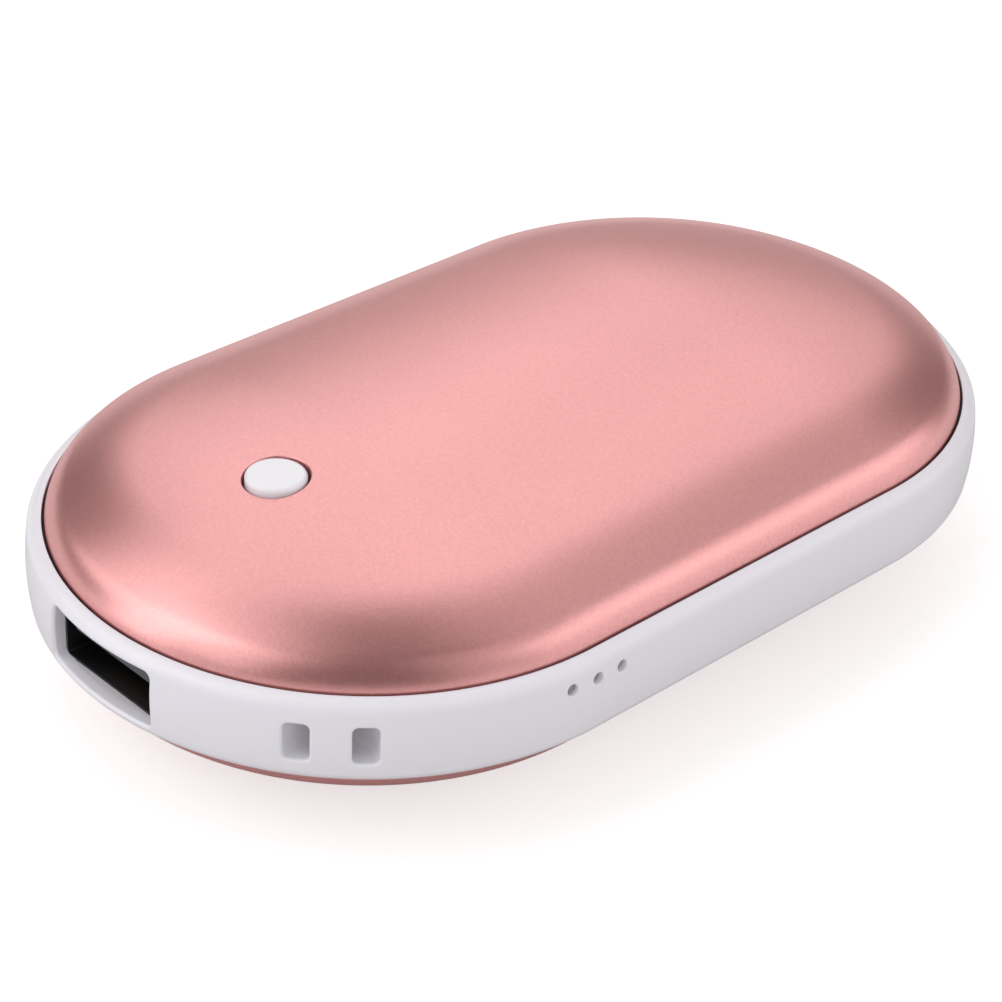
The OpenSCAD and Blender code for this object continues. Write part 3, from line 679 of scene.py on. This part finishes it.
def tunnel_ring(bm, view, outer, side, grow, sink):
    """One ring of a mouth; each point keeps its distance from the bar's middle."""
    ring = []
    for a, b in rounded_outline(SLOT_W - 2 * HAIR, SLOT_H - 2 * HAIR, SLOT_R, 0.12)(grow):
        reach = BEND_R + a
        lateral = reach
        for _ in range(4):
            depth = outer(side * lateral, b) + sink
            lateral = sqrt(max(reach ** 2 - (depth + BEND_X) ** 2, 0.01))
        ring.append(((side * lateral, b), bm.verts.new(lift(view, side * lateral, b, depth))))
    return ring


def bent_rings(bm, view, mouth, steps):
    """Turns a mouth's last ring about the bar's middle, through to the other mouth."""
    rings = []
    for k in range(1, steps):
        ring = []
        share = sin(pi * k / steps)
        for (a, b), vert in mouth:
            depth = seen(view, vert.co)[2] + BEND_X
            start = atan2(depth, a)
            t = start + (pi - 2 * start) * k / steps
            flat_a, b = soft_spot((hypot(a, depth) - BEND_R, b), share)
            reach = BEND_R + flat_a
            place = lift(view, reach * cos(t), b, reach * sin(t) - BEND_X)
            ring.append(((reach * cos(t), b), bm.verts.new(place)))
        rings.append(ring)
    return rings


# %% The tunnel in the skin
view, outer, inner = band_view(-SPINE, 0, heading=pi + BAR_FROM_WINDOW / RING_R)
for vert in skin.verts:
    lateral, rise, depth = seen(view, vert.co)
    on_wall = abs(plan_radius(vert.co.x / MM, vert.co.y / MM) - SKIN_R) < 0.01
    if on_wall and depth < 0 and abs(lateral) < BULGE_W and abs(rise) < BULGE_H:
        vert.co += view[3] * (BULGE_DEPTH - depth) * MM


def slot_spots(side, grow):
    return [(side * (BEND_R + a), b) for a, b in rounded_outline(SLOT_W, SLOT_H, SLOT_R)(grow)]


box = box_round(slot_spots(-1, 0) + slot_spots(1, 0), margin=0.8)
loop = clear_patch(skin, view, outer, box, -1)
mouths = [[tunnel_ring(skin, view, outer, side, *step) for step in rolled(SLOT_ROLL)]
          for side in (1, -1)]
relief = [p for side in (-1, 1) for grow in (0.5, 0.9) for p in slot_spots(side, grow)[::2]]
relief += [(a * 0.4, b * 0.4) for a in range(-2, 3) for b in range(-5, 6)]
fill_patch(skin, view, outer, loop, [mouth[0] for mouth in mouths], relief)
bend = bent_rings(skin, view, mouths[0][-1], steps=28)
loft(skin, mouths[0] + bend + mouths[1][::-1])
bmesh.ops.recalc_face_normals(skin, faces=skin.faces)
keep("band_skin", skin, "band", replaces=["mid_frame"])

# %% Core of the band
PEEL_R, PEEL_TO, STEP_R, STEP_Z, PEEL_Z = 28.35, 32.0, 28.1, 3.35, 5.0


def cad_copy(node):
    """A CAD node's mesh with its loose triangles joined."""
    bm = bmesh_of(frame["nodes"][node].data)
    bmesh.ops.remove_doubles(bm, verts=bm.verts, dist=1e-7)
    return bm


upper = [(PEEL_R, STEP_Z), (STEP_R, STEP_Z), (STEP_R, PEEL_Z), (PEEL_TO, PEEL_Z)]
ring = [(PEEL_R, -STEP_Z)] + upper + [(r, -z) for r, z in reversed(upper)]
peel = into_scene("peel", mesh_of("peel", carried_round("peel", ring, end_steps=90, side_steps=2)))
core = into_scene("core_host", mesh_of("core_host", cad_copy("mid_frame")))
cut = core.modifiers.new("peel", "BOOLEAN")
cut.operation, cut.solver, cut.object = "DIFFERENCE", "EXACT", peel
keep("band_core", bmesh_of(evaluated(core)), "band", replaces=["mid_frame"], sharp=30)
bpy.data.objects.remove(peel)

# %% [markdown]
# ## Dark seam beads
# A thin dark bead is carried round in the gap between each shell's edge and the
# lip of the band, so that the seam reads as a fine black line.

# %% Dark seam beads
near, ridge, far = 28.02, 28.13, 28.235
foot, shoulder, crest = (LEDGE_Z + rise for rise in (0.01, 0.3, 0.36))
bead = [(near, foot), (far, foot), (far, shoulder), (ridge, crest), (near, shoulder), (near, foot)]
# A dark bead in each seam gap, which makes the seam read as a fine black line.
dark_beads = carried_round("upper_gasket", bead, end_steps=96, side_steps=4)
below = carried_round("lower_gasket", bead, end_steps=96, side_steps=4, flip=-1)
dark_beads.from_mesh(mesh_of("lower_gasket", below))
keep("seam_gaskets", dark_beads, "foam")

# %% [markdown]
# ## Button
# The button is a small round moulding: a cap that stands a little proud of the
# shell, a flange that keeps it in, and a stem down to the switch. A lathe of its
# half section gives an even rim, which one faceted disc would not.

# %% Button
STEM_R, FLANGE_R, FLANGE_T, CHAMFER = 1.5, 3.8, 0.8, 0.05
CAP_PROUD, CAP_DISH, CAP_ROUND = 0.08, 0.05, 0.42


def lathe(section, centre, steps=96):
    """Turns a half section of radius and height about an upright line."""
    bm = bmesh.new()
    rings = []
    for r, z in section:
        spots = [((centre[0] + r * cos(2 * pi * k / steps)) * MM,
                  (centre[1] + r * sin(2 * pi * k / steps)) * MM,
                  (z + MID) * MM) for k in range(steps if r > 1e-6 else 1)]
        rings.append([bm.verts.new(spot) for spot in spots] * (steps // len(spots)))
    for low, high in zip(rings, rings[1:]):
        for k in range(steps):
            j = (k + 1) % steps
            bm.faces.new(list(dict.fromkeys((low[k], low[j], high[j], high[k]))))
    bmesh.ops.recalc_face_normals(bm, faces=bm.faces)
    return bm


low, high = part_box("power_button")
stem_z, cap_z = low.z / MM - MID, high.z / MM - MID + CAP_PROUD
flange_z = ceiling_z(BUTTON_X - FLANGE_R, 0) - 0.15
turn_z = cap_z - CAP_DISH - CAP_ROUND
section = [(0, stem_z), (STEM_R - CHAMFER, stem_z), (STEM_R, stem_z + CHAMFER),
           (STEM_R, flange_z - FLANGE_T), (FLANGE_R - CHAMFER, flange_z - FLANGE_T),
           (FLANGE_R, flange_z - FLANGE_T + CHAMFER), (FLANGE_R, flange_z - CHAMFER),
           (FLANGE_R - CHAMFER, flange_z), (BUTTON_R, flange_z), (BUTTON_R, turn_z)]
section += list(arc((BUTTON_R - CAP_ROUND, turn_z), CAP_ROUND, pi / 2, 0.12, steps=8))
rim_r, rim_z = section[-1]
section += [(rim_r * (1 - k / 10), cap_z - (cap_z - rim_z) * (1 - k / 10) ** 2)
            for k in range(1, 11)]
keep("push_button", lathe(section, (BUTTON_X, 0)), slot="button", body="button",
     replaces=["power_button"])

# %% [markdown]
# ## Sockets
# The sockets are folded sheet and moulded tongues. Their solids are right but
# have knife edges, so copies are joined up, their flat triangles merged, and each
# sharp edge gets a small round, which is where such parts catch the light.

# %% Sockets with softened edges


def softened(name, node, slot, width, segments):
    bm = cad_copy(node)
    bmesh.ops.dissolve_limit(bm, angle_limit=radians(1), verts=bm.verts, edges=bm.edges)
    sharp = [e for e in bm.edges
             if e.is_manifold and e.is_convex and e.calc_face_angle(0) > radians(50)]
    bmesh.ops.bevel(bm, geom=sharp, offset=width * MM, segments=segments, profile=0.5,
                    affect="EDGES", clamp_overlap=True)
    keep(name, bm, slot, replaces=[node], sharp=40)


softened("output_shell", "usb_socket_shell", "socket", width=0.07, segments=3)
softened("output_tongue", "usb_socket_tongue", "black_plastic", width=0.12, segments=3)
softened("input_shell", "input_socket_shell", "socket", width=0.06, segments=2)
softened("input_tongue", "input_socket_tongue", "black_plastic", width=0.08, segments=2)

# %% [markdown]
# ## Contacts
# Four sprung strips lie under the output's tongue. Each bows out where it meets
# the plug, so one strip is drawn as a bowed line with a flat section and set at
# four points, which is what instancing is for.

# %% Contacts
tree, given = new_tree("bowed_strips", Geometry="Geometry", Length="Float", Width="Float",
                       Thickness="Float", Bow="Float", Finish="Material")
tip = add(tree, "ShaderNodeCombineXYZ", {0: given["Length"]})
line = add(tree, "GeometryNodeCurvePrimitiveLine", {"End": tip})
fine = add(tree, "GeometryNodeResampleCurve", {"Curve": line, "Count": 28})
share = add(tree, "GeometryNodeSplineParameter").outputs["Factor"]
skewed = calc("POWER", share, 0.55)
swell = calc("SINE", times(skewed, pi))
sag = times(times(swell, given["Bow"]), -1.0)
bowed = add(tree, "GeometryNodeSetPosition", {
    "Geometry": fine, "Offset": add(tree, "ShaderNodeCombineXYZ", {2: sag})})
flat = add(tree, "GeometryNodeCurvePrimitiveQuadrilateral", {
    "Width": given["Width"], "Height": given["Thickness"]})
upright = add(tree, "GeometryNodeSetCurveNormal", {"Curve": bowed}, mode="Z_UP")
strip = add(tree, "GeometryNodeCurveToMesh", {
    "Curve": upright, "Profile Curve": flat, "Fill Caps": True})
strips = add(tree, "GeometryNodeInstanceOnPoints", {
    "Points": given["Geometry"], "Instance": strip})
end_tree(tree, strips, given["Finish"])

contacts_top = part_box("usb_contacts")[1].z
tongue_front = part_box("usb_socket_tongue")[0].x
starts = [(tongue_front + 1.05 * MM, y * MM, contacts_top - 0.12 * MM)
          for y in (-3.5, -1.0, 1.0, 3.5)]
contacts = bmesh_of(plain_mesh("output_contacts", tree, {
    "Length": 8.6 * MM, "Width": 0.96 * MM, "Thickness": 0.16 * MM, "Bow": 0.34 * MM}, starts))
contacts.from_mesh(mesh_of("contact_legs", cad_copy("usb_contacts")))
keep("output_contacts", contacts, "contact", replaces=["usb_contacts"], sharp=40)

# %% [markdown]
# ## Lights
# The three prongs of the light guide end in small lenses, a little way down
# their holes. One lens is drawn, and the tree sets it at three points.

# %% Lenses
tree, given = new_tree("row_of_lenses", Geometry="Geometry", Radius="Float", Rise="Float",
                       Finish="Material")
ball = add(tree, "GeometryNodeMeshUVSphere", {"Segments": 32, "Rings": 16, "Radius": 1.0})
size = add(tree, "ShaderNodeCombineXYZ", {0: given["Radius"], 1: given["Rise"], 2: given["Radius"]})
lenses = add(tree, "GeometryNodeInstanceOnPoints", {
    "Points": given["Geometry"], "Instance": ball, "Scale": size})
end_tree(tree, lenses, given["Finish"])

lens_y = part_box("light_guide")[0].y + 0.05 * MM
spots = [((LIGHT_X + LIGHT_PITCH * k) * MM, lens_y, (MID + LIGHT_Z) * MM) for k in range(3)]
keep("light_lenses", bmesh_of(plain_mesh(
    "lenses", tree, {"Radius": 0.47 * MM, "Rise": 0.2 * MM}, spots)), "guide")

# %% [markdown]
# ## Floor
# The floor is pale paper. It gives back part of the light that falls on it, which
# keeps the object's soft shadow, and adds a plain glow that only the camera and
# mirrored or refracted rays see, so that it reads as white without lighting the
# object. Right under the body real paper lies in the dark, and the lower shell
# mirrors that, so for mirrored rays the glow fades out under the body.

# %% Floor
PAPER, GLOW, FAR = 0.65, 0.6, 3


def here(tree):
    """Object coordinates, in metres."""
    return add(tree, "ShaderNodeTexCoord").outputs["Object"]


floor_mesh = bpy.data.meshes.new("floor")
floor_mesh.from_pydata([(-FAR, -FAR, 0), (FAR, -FAR, 0), (FAR, FAR, 0), (-FAR, FAR, 0)],
                       [], [(0, 1, 2, 3)])
floor = into_scene("floor", floor_mesh)
paper = bpy.data.materials.new("white_paper")
paper.use_nodes = True
sheet = paper.node_tree
path = add(sheet, "ShaderNodeLightPath").outputs
to_outline = (1 / (49 * MM), 1 / (30 * MM), 0)
across = add(sheet, "ShaderNodeVectorMath", {0: here(sheet), 1: to_outline}, operation="MULTIPLY")
away = add(sheet, "ShaderNodeVectorMath", {0: across}, operation="LENGTH").outputs[1]
mirrored = times(path["Is Glossy Ray"], clamped(away, 1.0, 8.0, 0.0, 0.8))
shown = calc("MAXIMUM", calc("MAXIMUM", path["Is Camera Ray"], mirrored),
             path["Is Transmission Ray"])
wire(sheet.nodes["Principled BSDF"], {
    "Base Color": [PAPER] * 3, "Roughness": 0.9, "Emission Color": (1, 1, 1),
    "Emission Strength": times(shown, GLOW)})
floor_mesh.materials.append(paper)
print("floor:", 2 * FAR, "m of paper, glow", GLOW)

# %% [markdown]
# ## Light
# Satin metal shows its surroundings as soft patches, so the lamps are large soft
# boxes, as in a product studio: bright ones on the left, behind and on the right,
# and none in front, where the camera stands in a dim room. That leaves the dark
# patch on the near edge. The sky between them is a dim warm grey, and a fill from the
# front, which mirrors don't show, lights the white band. A box's `level` is the
# brightness of its face: at 1 it looks white in a mirror.

# %% Light


def soft_box(name, azimuth, height, width, tall, level, distance=1.5):
    """An area lamp aimed at the object; angles in degrees, azimuth from +X towards +Y."""
    data = bpy.data.lights.new(name, "AREA")
    data.shape, data.size, data.size_y = "RECTANGLE", width, tall
    data.energy = level * pi * width * tall
    a, e = radians(azimuth), radians(height)
    out = Vector((cos(e) * cos(a), cos(e) * sin(a), sin(e)))
    box = into_scene(name, data)
    box.location = out * distance + Vector((0, 0, MID * MM))
    box.rotation_euler = (-out).to_track_quat("-Z", "Y").to_euler()
    print(name, "lamp of", round(data.energy, 1), "W")
    return box


# name, azimuth, height, width and length in metres, level
SOFT_BOXES = [
    ("left", 150, 29, 0.70, 1.73, 1.75),
    ("far_left", 180, 33, 0.66, 1.50, 1.00),
    ("left_back", 120, 39, 0.63, 1.15, 1.12),
    ("back", 60, 29, 0.76, 0.58, 0.92),
    ("back_right", 30, 29, 0.76, 0.58, 0.75),
    ("back_low", 45, 9, 1.71, 0.48, 0.15),
    ("back_high", 45, 50, 1.11, 0.53, 0.95),
    ("right_back", 0, 50, 0.52, 0.53, 0.50),
    ("middle_back", 90, 50, 0.52, 0.53, 0.70),
    ("high", 60, 69, 1.20, 0.48, 0.88),
    ("high_left", 150, 69, 0.62, 0.48, 0.70),
    ("high_right", 330, 69, 0.62, 0.48, 0.42),
    ("right_upper", 315, 50, 1.11, 0.53, 0.42),
    ("right", 315, 29, 1.52, 0.58, 1.27),
    ("right_low", 315, 9, 1.71, 0.48, 0.75),
    ("front_right", 270, 29, 0.70, 1.73, 0.40)]
for row in SOFT_BOXES:
    soft_box(*row)
fill = soft_box("front_fill", 232, 28, 1.8, 0.92, 1.06)
fill.visible_glossy = False
world = bpy.data.worlds.new("studio")
bpy.context.scene.world = world
world.use_nodes = True
wire(world.node_tree.nodes["Background"], {"Color": (0.2, 0.17, 0.17)})
bpy.context.scene.view_settings.view_transform = "Standard"

# %% [markdown]
# ## Effects that all finishes share
# No real surface is one flat colour. Blasted metal, a moulded skin, foam and wire
# all have a fine grain, and all are a little glossier in one place than another.
# So there are two effects, each a node group with named inputs: a fine grain,
# which varies the colour and gives a height to bump with, and soft clouds, which
# drift slowly between two values. Both read Object coordinates, in metres. A third
# draws parallel tracks, for the heating films, the boards and the lamps.

# %% Shared effects


def end_effect(group, values):
    add(group, "NodeGroupOutput", values)
    print("effect:", group.name, len(group.nodes), "nodes")


fine_grain, given = new_group(
    "fine_grain", "ShaderNodeTree",
    {"Colour": "Color", "Grains per metre": "Float", "Contrast": "Float"},
    {"Colour": "Color", "Height": "Float"})
grains = add(fine_grain, "ShaderNodeTexNoise", {
    "Vector": here(fine_grain), "Scale": given["Grains per metre"], "Detail": 2.0,
    "Roughness": 0.65}).outputs[0]
level = calc("MULTIPLY_ADD", calc("SUBTRACT", grains, 0.5), given["Contrast"], 1.0)
tinted = add(fine_grain, "ShaderNodeVectorMath", {0: given["Colour"], "Scale": level},
             operation="SCALE")
end_effect(fine_grain, {"Colour": tinted, "Height": grains})

soft_clouds, given = new_group(
    "soft_clouds", "ShaderNodeTree", {"Clouds per metre": "Float", "Low": "Float", "High": "Float"},
    {"Value": "Float"})
drift = add(soft_clouds, "ShaderNodeTexNoise", {
    "Vector": here(soft_clouds), "Scale": given["Clouds per metre"], "Detail": 3.0}).outputs[0]
end_effect(soft_clouds, {"Value": clamped(drift, 0.3, 0.7, given["Low"], given["High"])})

parallel_tracks, given = new_group(
    "parallel_tracks", "ShaderNodeTree", {"Across": "Float", "Pitch": "Float", "Share": "Float"},
    {"Mask": "Float"})
pitches = calc("DIVIDE", given["Across"], given["Pitch"])
off = calc("ABSOLUTE", calc("SUBTRACT", calc("FRACT", pitches), 0.5))
end_effect(parallel_tracks, {
    "Mask": calc("LESS_THAN", off, times(given["Share"], 0.5))})

# %% [markdown]
# ## Recipe for a finish
# Each material keeps its own shader. The recipe places the shared effects with
# that material's values: the grain feeds colour and bump, the clouds feed the
# roughness. Where a surface has a pattern of its own, such as tracks under a
# film, a small function draws its colour first and the grain is laid over it.

# %% Recipe
finishes = {}


def blend(mask, one, other):
    """One colour where the mask is 0, the other where it is 1."""
    mix = add(mask.id_data, "ShaderNodeMix", {0: mask, 6: one, 7: other}, data_type="RGBA")
    return mix.outputs[2]


def place_mm(tree):
    """The three Object coordinates in millimetres."""
    large = add(tree, "ShaderNodeVectorMath", {0: here(tree), "Scale": 1000.0}, operation="SCALE")
    return add(tree, "ShaderNodeSeparateXYZ", {0: large}).outputs


def finish(slot, name, colour, rough, grains, contrast, clouds, relief=0.004, metal=0.0,
           coat=0.0, coat_rough=0.1, pattern=None, **plain):
    """Makes a slot's material; grains and clouds are per metre, relief is in millimetres."""
    material = bpy.data.materials.new(name)
    material.use_nodes = True
    tree = material.node_tree
    under = pattern(tree) if pattern else colour
    fine = add(tree, "ShaderNodeGroup", node_tree=fine_grain, inputs={
        "Colour": under, "Grains per metre": grains, "Contrast": contrast})
    gloss = add(tree, "ShaderNodeGroup", node_tree=soft_clouds, inputs={
        "Clouds per metre": clouds, "Low": rough[0], "High": rough[1]})
    bump = add(tree, "ShaderNodeBump", {
        "Strength": 1.0, "Distance": relief * MM, "Height": fine.outputs["Height"]})
    wire(tree.nodes["Principled BSDF"], {
        "Base Color": fine.outputs["Colour"], "Roughness": gloss.outputs["Value"],
        "Normal": bump, "Metallic": metal, "Coat Weight": coat, "Coat Roughness": coat_rough,
        **{socket.replace("_", " "): value for socket, value in plain.items()}})
    finishes[slot] = material


# %% [markdown]
# ## Finishes that show
# The shells are blasted aluminium, dyed rose gold: a metal with a fine grain and
# a soft, even sheen. The band and the button are the same white plastic, a touch
# lilac, the band satin from its mould and the button glossier. Deep in an opening
# the white is painted greyer: painted shade, for the little light that comes back
# out of the slots and the window. The sockets are blackened nickel, their tongues
# black, and the lights' prongs are smoked clear plastic.

# %% Finishes that show


def painted_shade_inside(tree):
    """White at the skin, and painted greyer on walls that lie deep in an opening: painted shade."""
    x, y, z = place_mm(tree)
    past = calc("MAXIMUM", calc("SUBTRACT", calc("ABSOLUTE", x), SPINE), 0.0)
    out = calc("SQRT", calc("ADD", times(past, past), times(y, y)))
    height = calc("ABSOLUTE", calc("SUBTRACT", z, MID))
    shoulder = calc("POWER", calc("MAXIMUM", calc("SUBTRACT", height, SHOULDER_Z), 0.0), 2.0)
    # Painted shade: the band's white is greyed on walls a millimetre or more inside an opening.
    deep = clamped(calc("ADD", out, shoulder), RING_R - 3.0, RING_R - 1.0, 1.0, 0.0)
    return blend(deep, (0.90, 0.905, 0.965), (0.70, 0.665, 0.69))


finish("shell", "rose_gold_aluminium", (0.86, 0.425, 0.415), metal=1.0, rough=(0.32, 0.36),
       grains=3100, contrast=0.28, relief=0.009, clouds=40)
finish("band", "white_satin_moulding", None, pattern=painted_shade_inside, rough=(0.30, 0.38),
       grains=1900, contrast=0.015, relief=0.002, clouds=60, coat=0.3, coat_rough=0.14)
finish("button", "white_button_moulding", (0.92, 0.93, 0.97), rough=(0.22, 0.3),
       grains=1900, contrast=0.012, relief=0.0015, clouds=150, coat=0.3, coat_rough=0.08)
finish("socket", "black_nickel_sheet", (0.09, 0.09, 0.095), metal=1.0, rough=(0.36, 0.48),
       grains=1500, contrast=0.08, relief=0.002, clouds=220)
finish("black_plastic", "black_moulding", (0.085, 0.085, 0.092), rough=(0.38, 0.5),
       grains=3500, contrast=0.25, clouds=180)
finish("contact", "gold_plated_strip", (0.83, 0.60, 0.28), metal=1.0, rough=(0.18, 0.3),
       grains=2200, contrast=0.06, relief=0.001, clouds=400)
finish("guide", "smoked_clear_plastic", (0.60, 0.58, 0.59), rough=(0.12, 0.22), grains=1200,
       contrast=0.05, relief=0.001, clouds=300, Transmission_Weight=0.6, IOR=1.49)
print("finishes that show:", ", ".join(finishes))

# %% [markdown]
# ## Patterns inside
# Under the shells lie heating films, foil cells and two boards. A film is amber
# plastic over one long bent track; the tracks group draws its runs, and two masks
# join them in turn at either end. A board is green lacquer over copper, which runs
# one way in some patches and the other way in others, as a routed board does.

# %% Patterns inside


def track_mask(across, pitch, share):
    return add(across.id_data, "ShaderNodeGroup", node_tree=parallel_tracks, inputs={
        "Across": across, "Pitch": pitch, "Share": share}).outputs[0]


def cells_of(tree, scale, output="Distance", **settings):
    cells = add(tree, "ShaderNodeTexVoronoi", {"Vector": here(tree), "Scale": scale}, **settings)
    return cells.outputs[output]


def film_tracks(tree):
    x, y = place_mm(tree)[:2]
    half_length, pitch, share, end = 17.2, 2.2, 0.42, 0.9
    out = calc("ABSOLUTE", y)
    inner = calc("LESS_THAN", out, half_length)
    runs = times(track_mask(x, pitch, share), inner)
    ends = times(calc("GREATER_THAN", out, half_length - end), inner)
    shifted = calc("MULTIPLY_ADD", calc("SIGN", y), pitch / 2, x)
    joints = times(track_mask(shifted, 2 * pitch, 0.5 + share / 2), ends)
    return blend(calc("MAXIMUM", runs, joints), (0.62, 0.26, 0.035), (0.30, 0.12, 0.03))


def board_tracks(tree):
    x, y = place_mm(tree)[:2]
    pitch, share, dot = 1.1, 0.38, 0.13
    patch = add(tree, "ShaderNodeSeparateColor", {0: cells_of(tree, 190.0, "Color")})
    pick = calc("GREATER_THAN", patch.outputs[0], 0.5)
    tracks = add(tree, "ShaderNodeMix", {
        0: pick, 2: track_mask(x, pitch, share), 3: track_mask(y, pitch, share)}).outputs[0]
    lacquer = blend(tracks, (0.012, 0.11, 0.04), (0.03, 0.21, 0.08))
    dots = calc("LESS_THAN", cells_of(tree, 420.0), dot)
    return blend(dots, lacquer, (0.62, 0.62, 0.58))


def lamp_dies(tree):
    """White lamp bodies, one to a light hole, each with a yellow window in its middle."""
    past = calc("ADD", place_mm(tree)[0], LIGHT_PITCH / 2 - LIGHT_X)
    return blend(track_mask(past, LIGHT_PITCH, 0.3), (0.82, 0.82, 0.8), (0.75, 0.6, 0.12))


def foil_creases(tree):
    crease = clamped(cells_of(tree, 130.0, feature="DISTANCE_TO_EDGE"), 0.0, 0.06, 1.0, 0.0)
    return blend(crease, (0.62, 0.63, 0.66), (0.72, 0.73, 0.76))


def foam_cells(tree):
    wall = clamped(cells_of(tree, 1400.0, feature="DISTANCE_TO_EDGE"), 0.02, 0.2, 1.0, 0.0)
    return blend(wall, (0.012, 0.012, 0.014), (0.035, 0.035, 0.04))


# %% Finishes inside
finish("carrier", "grey_matt_moulding", (0.62, 0.62, 0.65), rough=(0.5, 0.62), grains=1600,
       contrast=0.04, relief=0.006, clouds=50)
finish("film", "amber_heating_film", None, pattern=film_tracks, rough=(0.2, 0.34), grains=900,
       contrast=0.05, relief=0.003, clouds=90, coat=0.4)
finish("foam", "dark_foam", None, pattern=foam_cells, rough=(0.8, 0.95), grains=1700,
       contrast=0.3, relief=0.05, clouds=120)
finish("cell", "laminated_foil", None, pattern=foil_creases, metal=1.0, rough=(0.3, 0.46),
       grains=700, contrast=0.05, relief=0.01, clouds=80)
finish("board", "green_board_lacquer", None, pattern=board_tracks, rough=(0.25, 0.4),
       grains=1500, contrast=0.08, clouds=120, coat=0.3)
finish("tinned", "tinned_metal", (0.66, 0.67, 0.69), metal=1.0, rough=(0.28, 0.5), grains=1800,
       contrast=0.08, clouds=350)
finish("screw", "plated_screws", (0.46, 0.47, 0.49), metal=1.0, rough=(0.25, 0.42), grains=2600,
       contrast=0.1, relief=0.003, clouds=500)
finish("lead_red", "red_wire_cover", (0.55, 0.02, 0.015), rough=(0.35, 0.5), grains=2000,
       contrast=0.08, clouds=200)
finish("lead_black", "black_wire_cover", (0.018, 0.018, 0.02), rough=(0.35, 0.5), grains=2000,
       contrast=0.1, clouds=200)
finish("lead_cream", "cream_wire_cover", (0.72, 0.64, 0.42), rough=(0.4, 0.55), grains=2600,
       contrast=0.12, relief=0.008, clouds=200)
finish("bead", "blue_dipped_bead", (0.02, 0.03, 0.16), rough=(0.12, 0.25), grains=900,
       contrast=0.1, clouds=300, coat=0.5)
finish("led", "lamp_bodies", None, pattern=lamp_dies, rough=(0.3, 0.42), grains=2600,
       contrast=0.04, relief=0.002, clouds=300)
finish("ferrite", "pressed_ferrite", (0.06, 0.06, 0.065), rough=(0.5, 0.68), grains=2300,
       contrast=0.5, relief=0.012, clouds=260)
print("finishes in all:", len(finishes))

# %% Each node and piece gets the finish of its slot
parts = frame["record"]["subparts"]
for part in parts:
    thing = frame["nodes"][part["node"]]
    if not thing.material_slots:
        thing.data.materials.append(None)
    for slot in thing.material_slots:
        slot.material = finishes[part["material_slot"]]
for piece, slot in pieces:
    piece.data.materials.clear()
    piece.data.materials.append(finishes[slot])
print("dressed:", len(parts), "nodes and", len(pieces), "pieces")
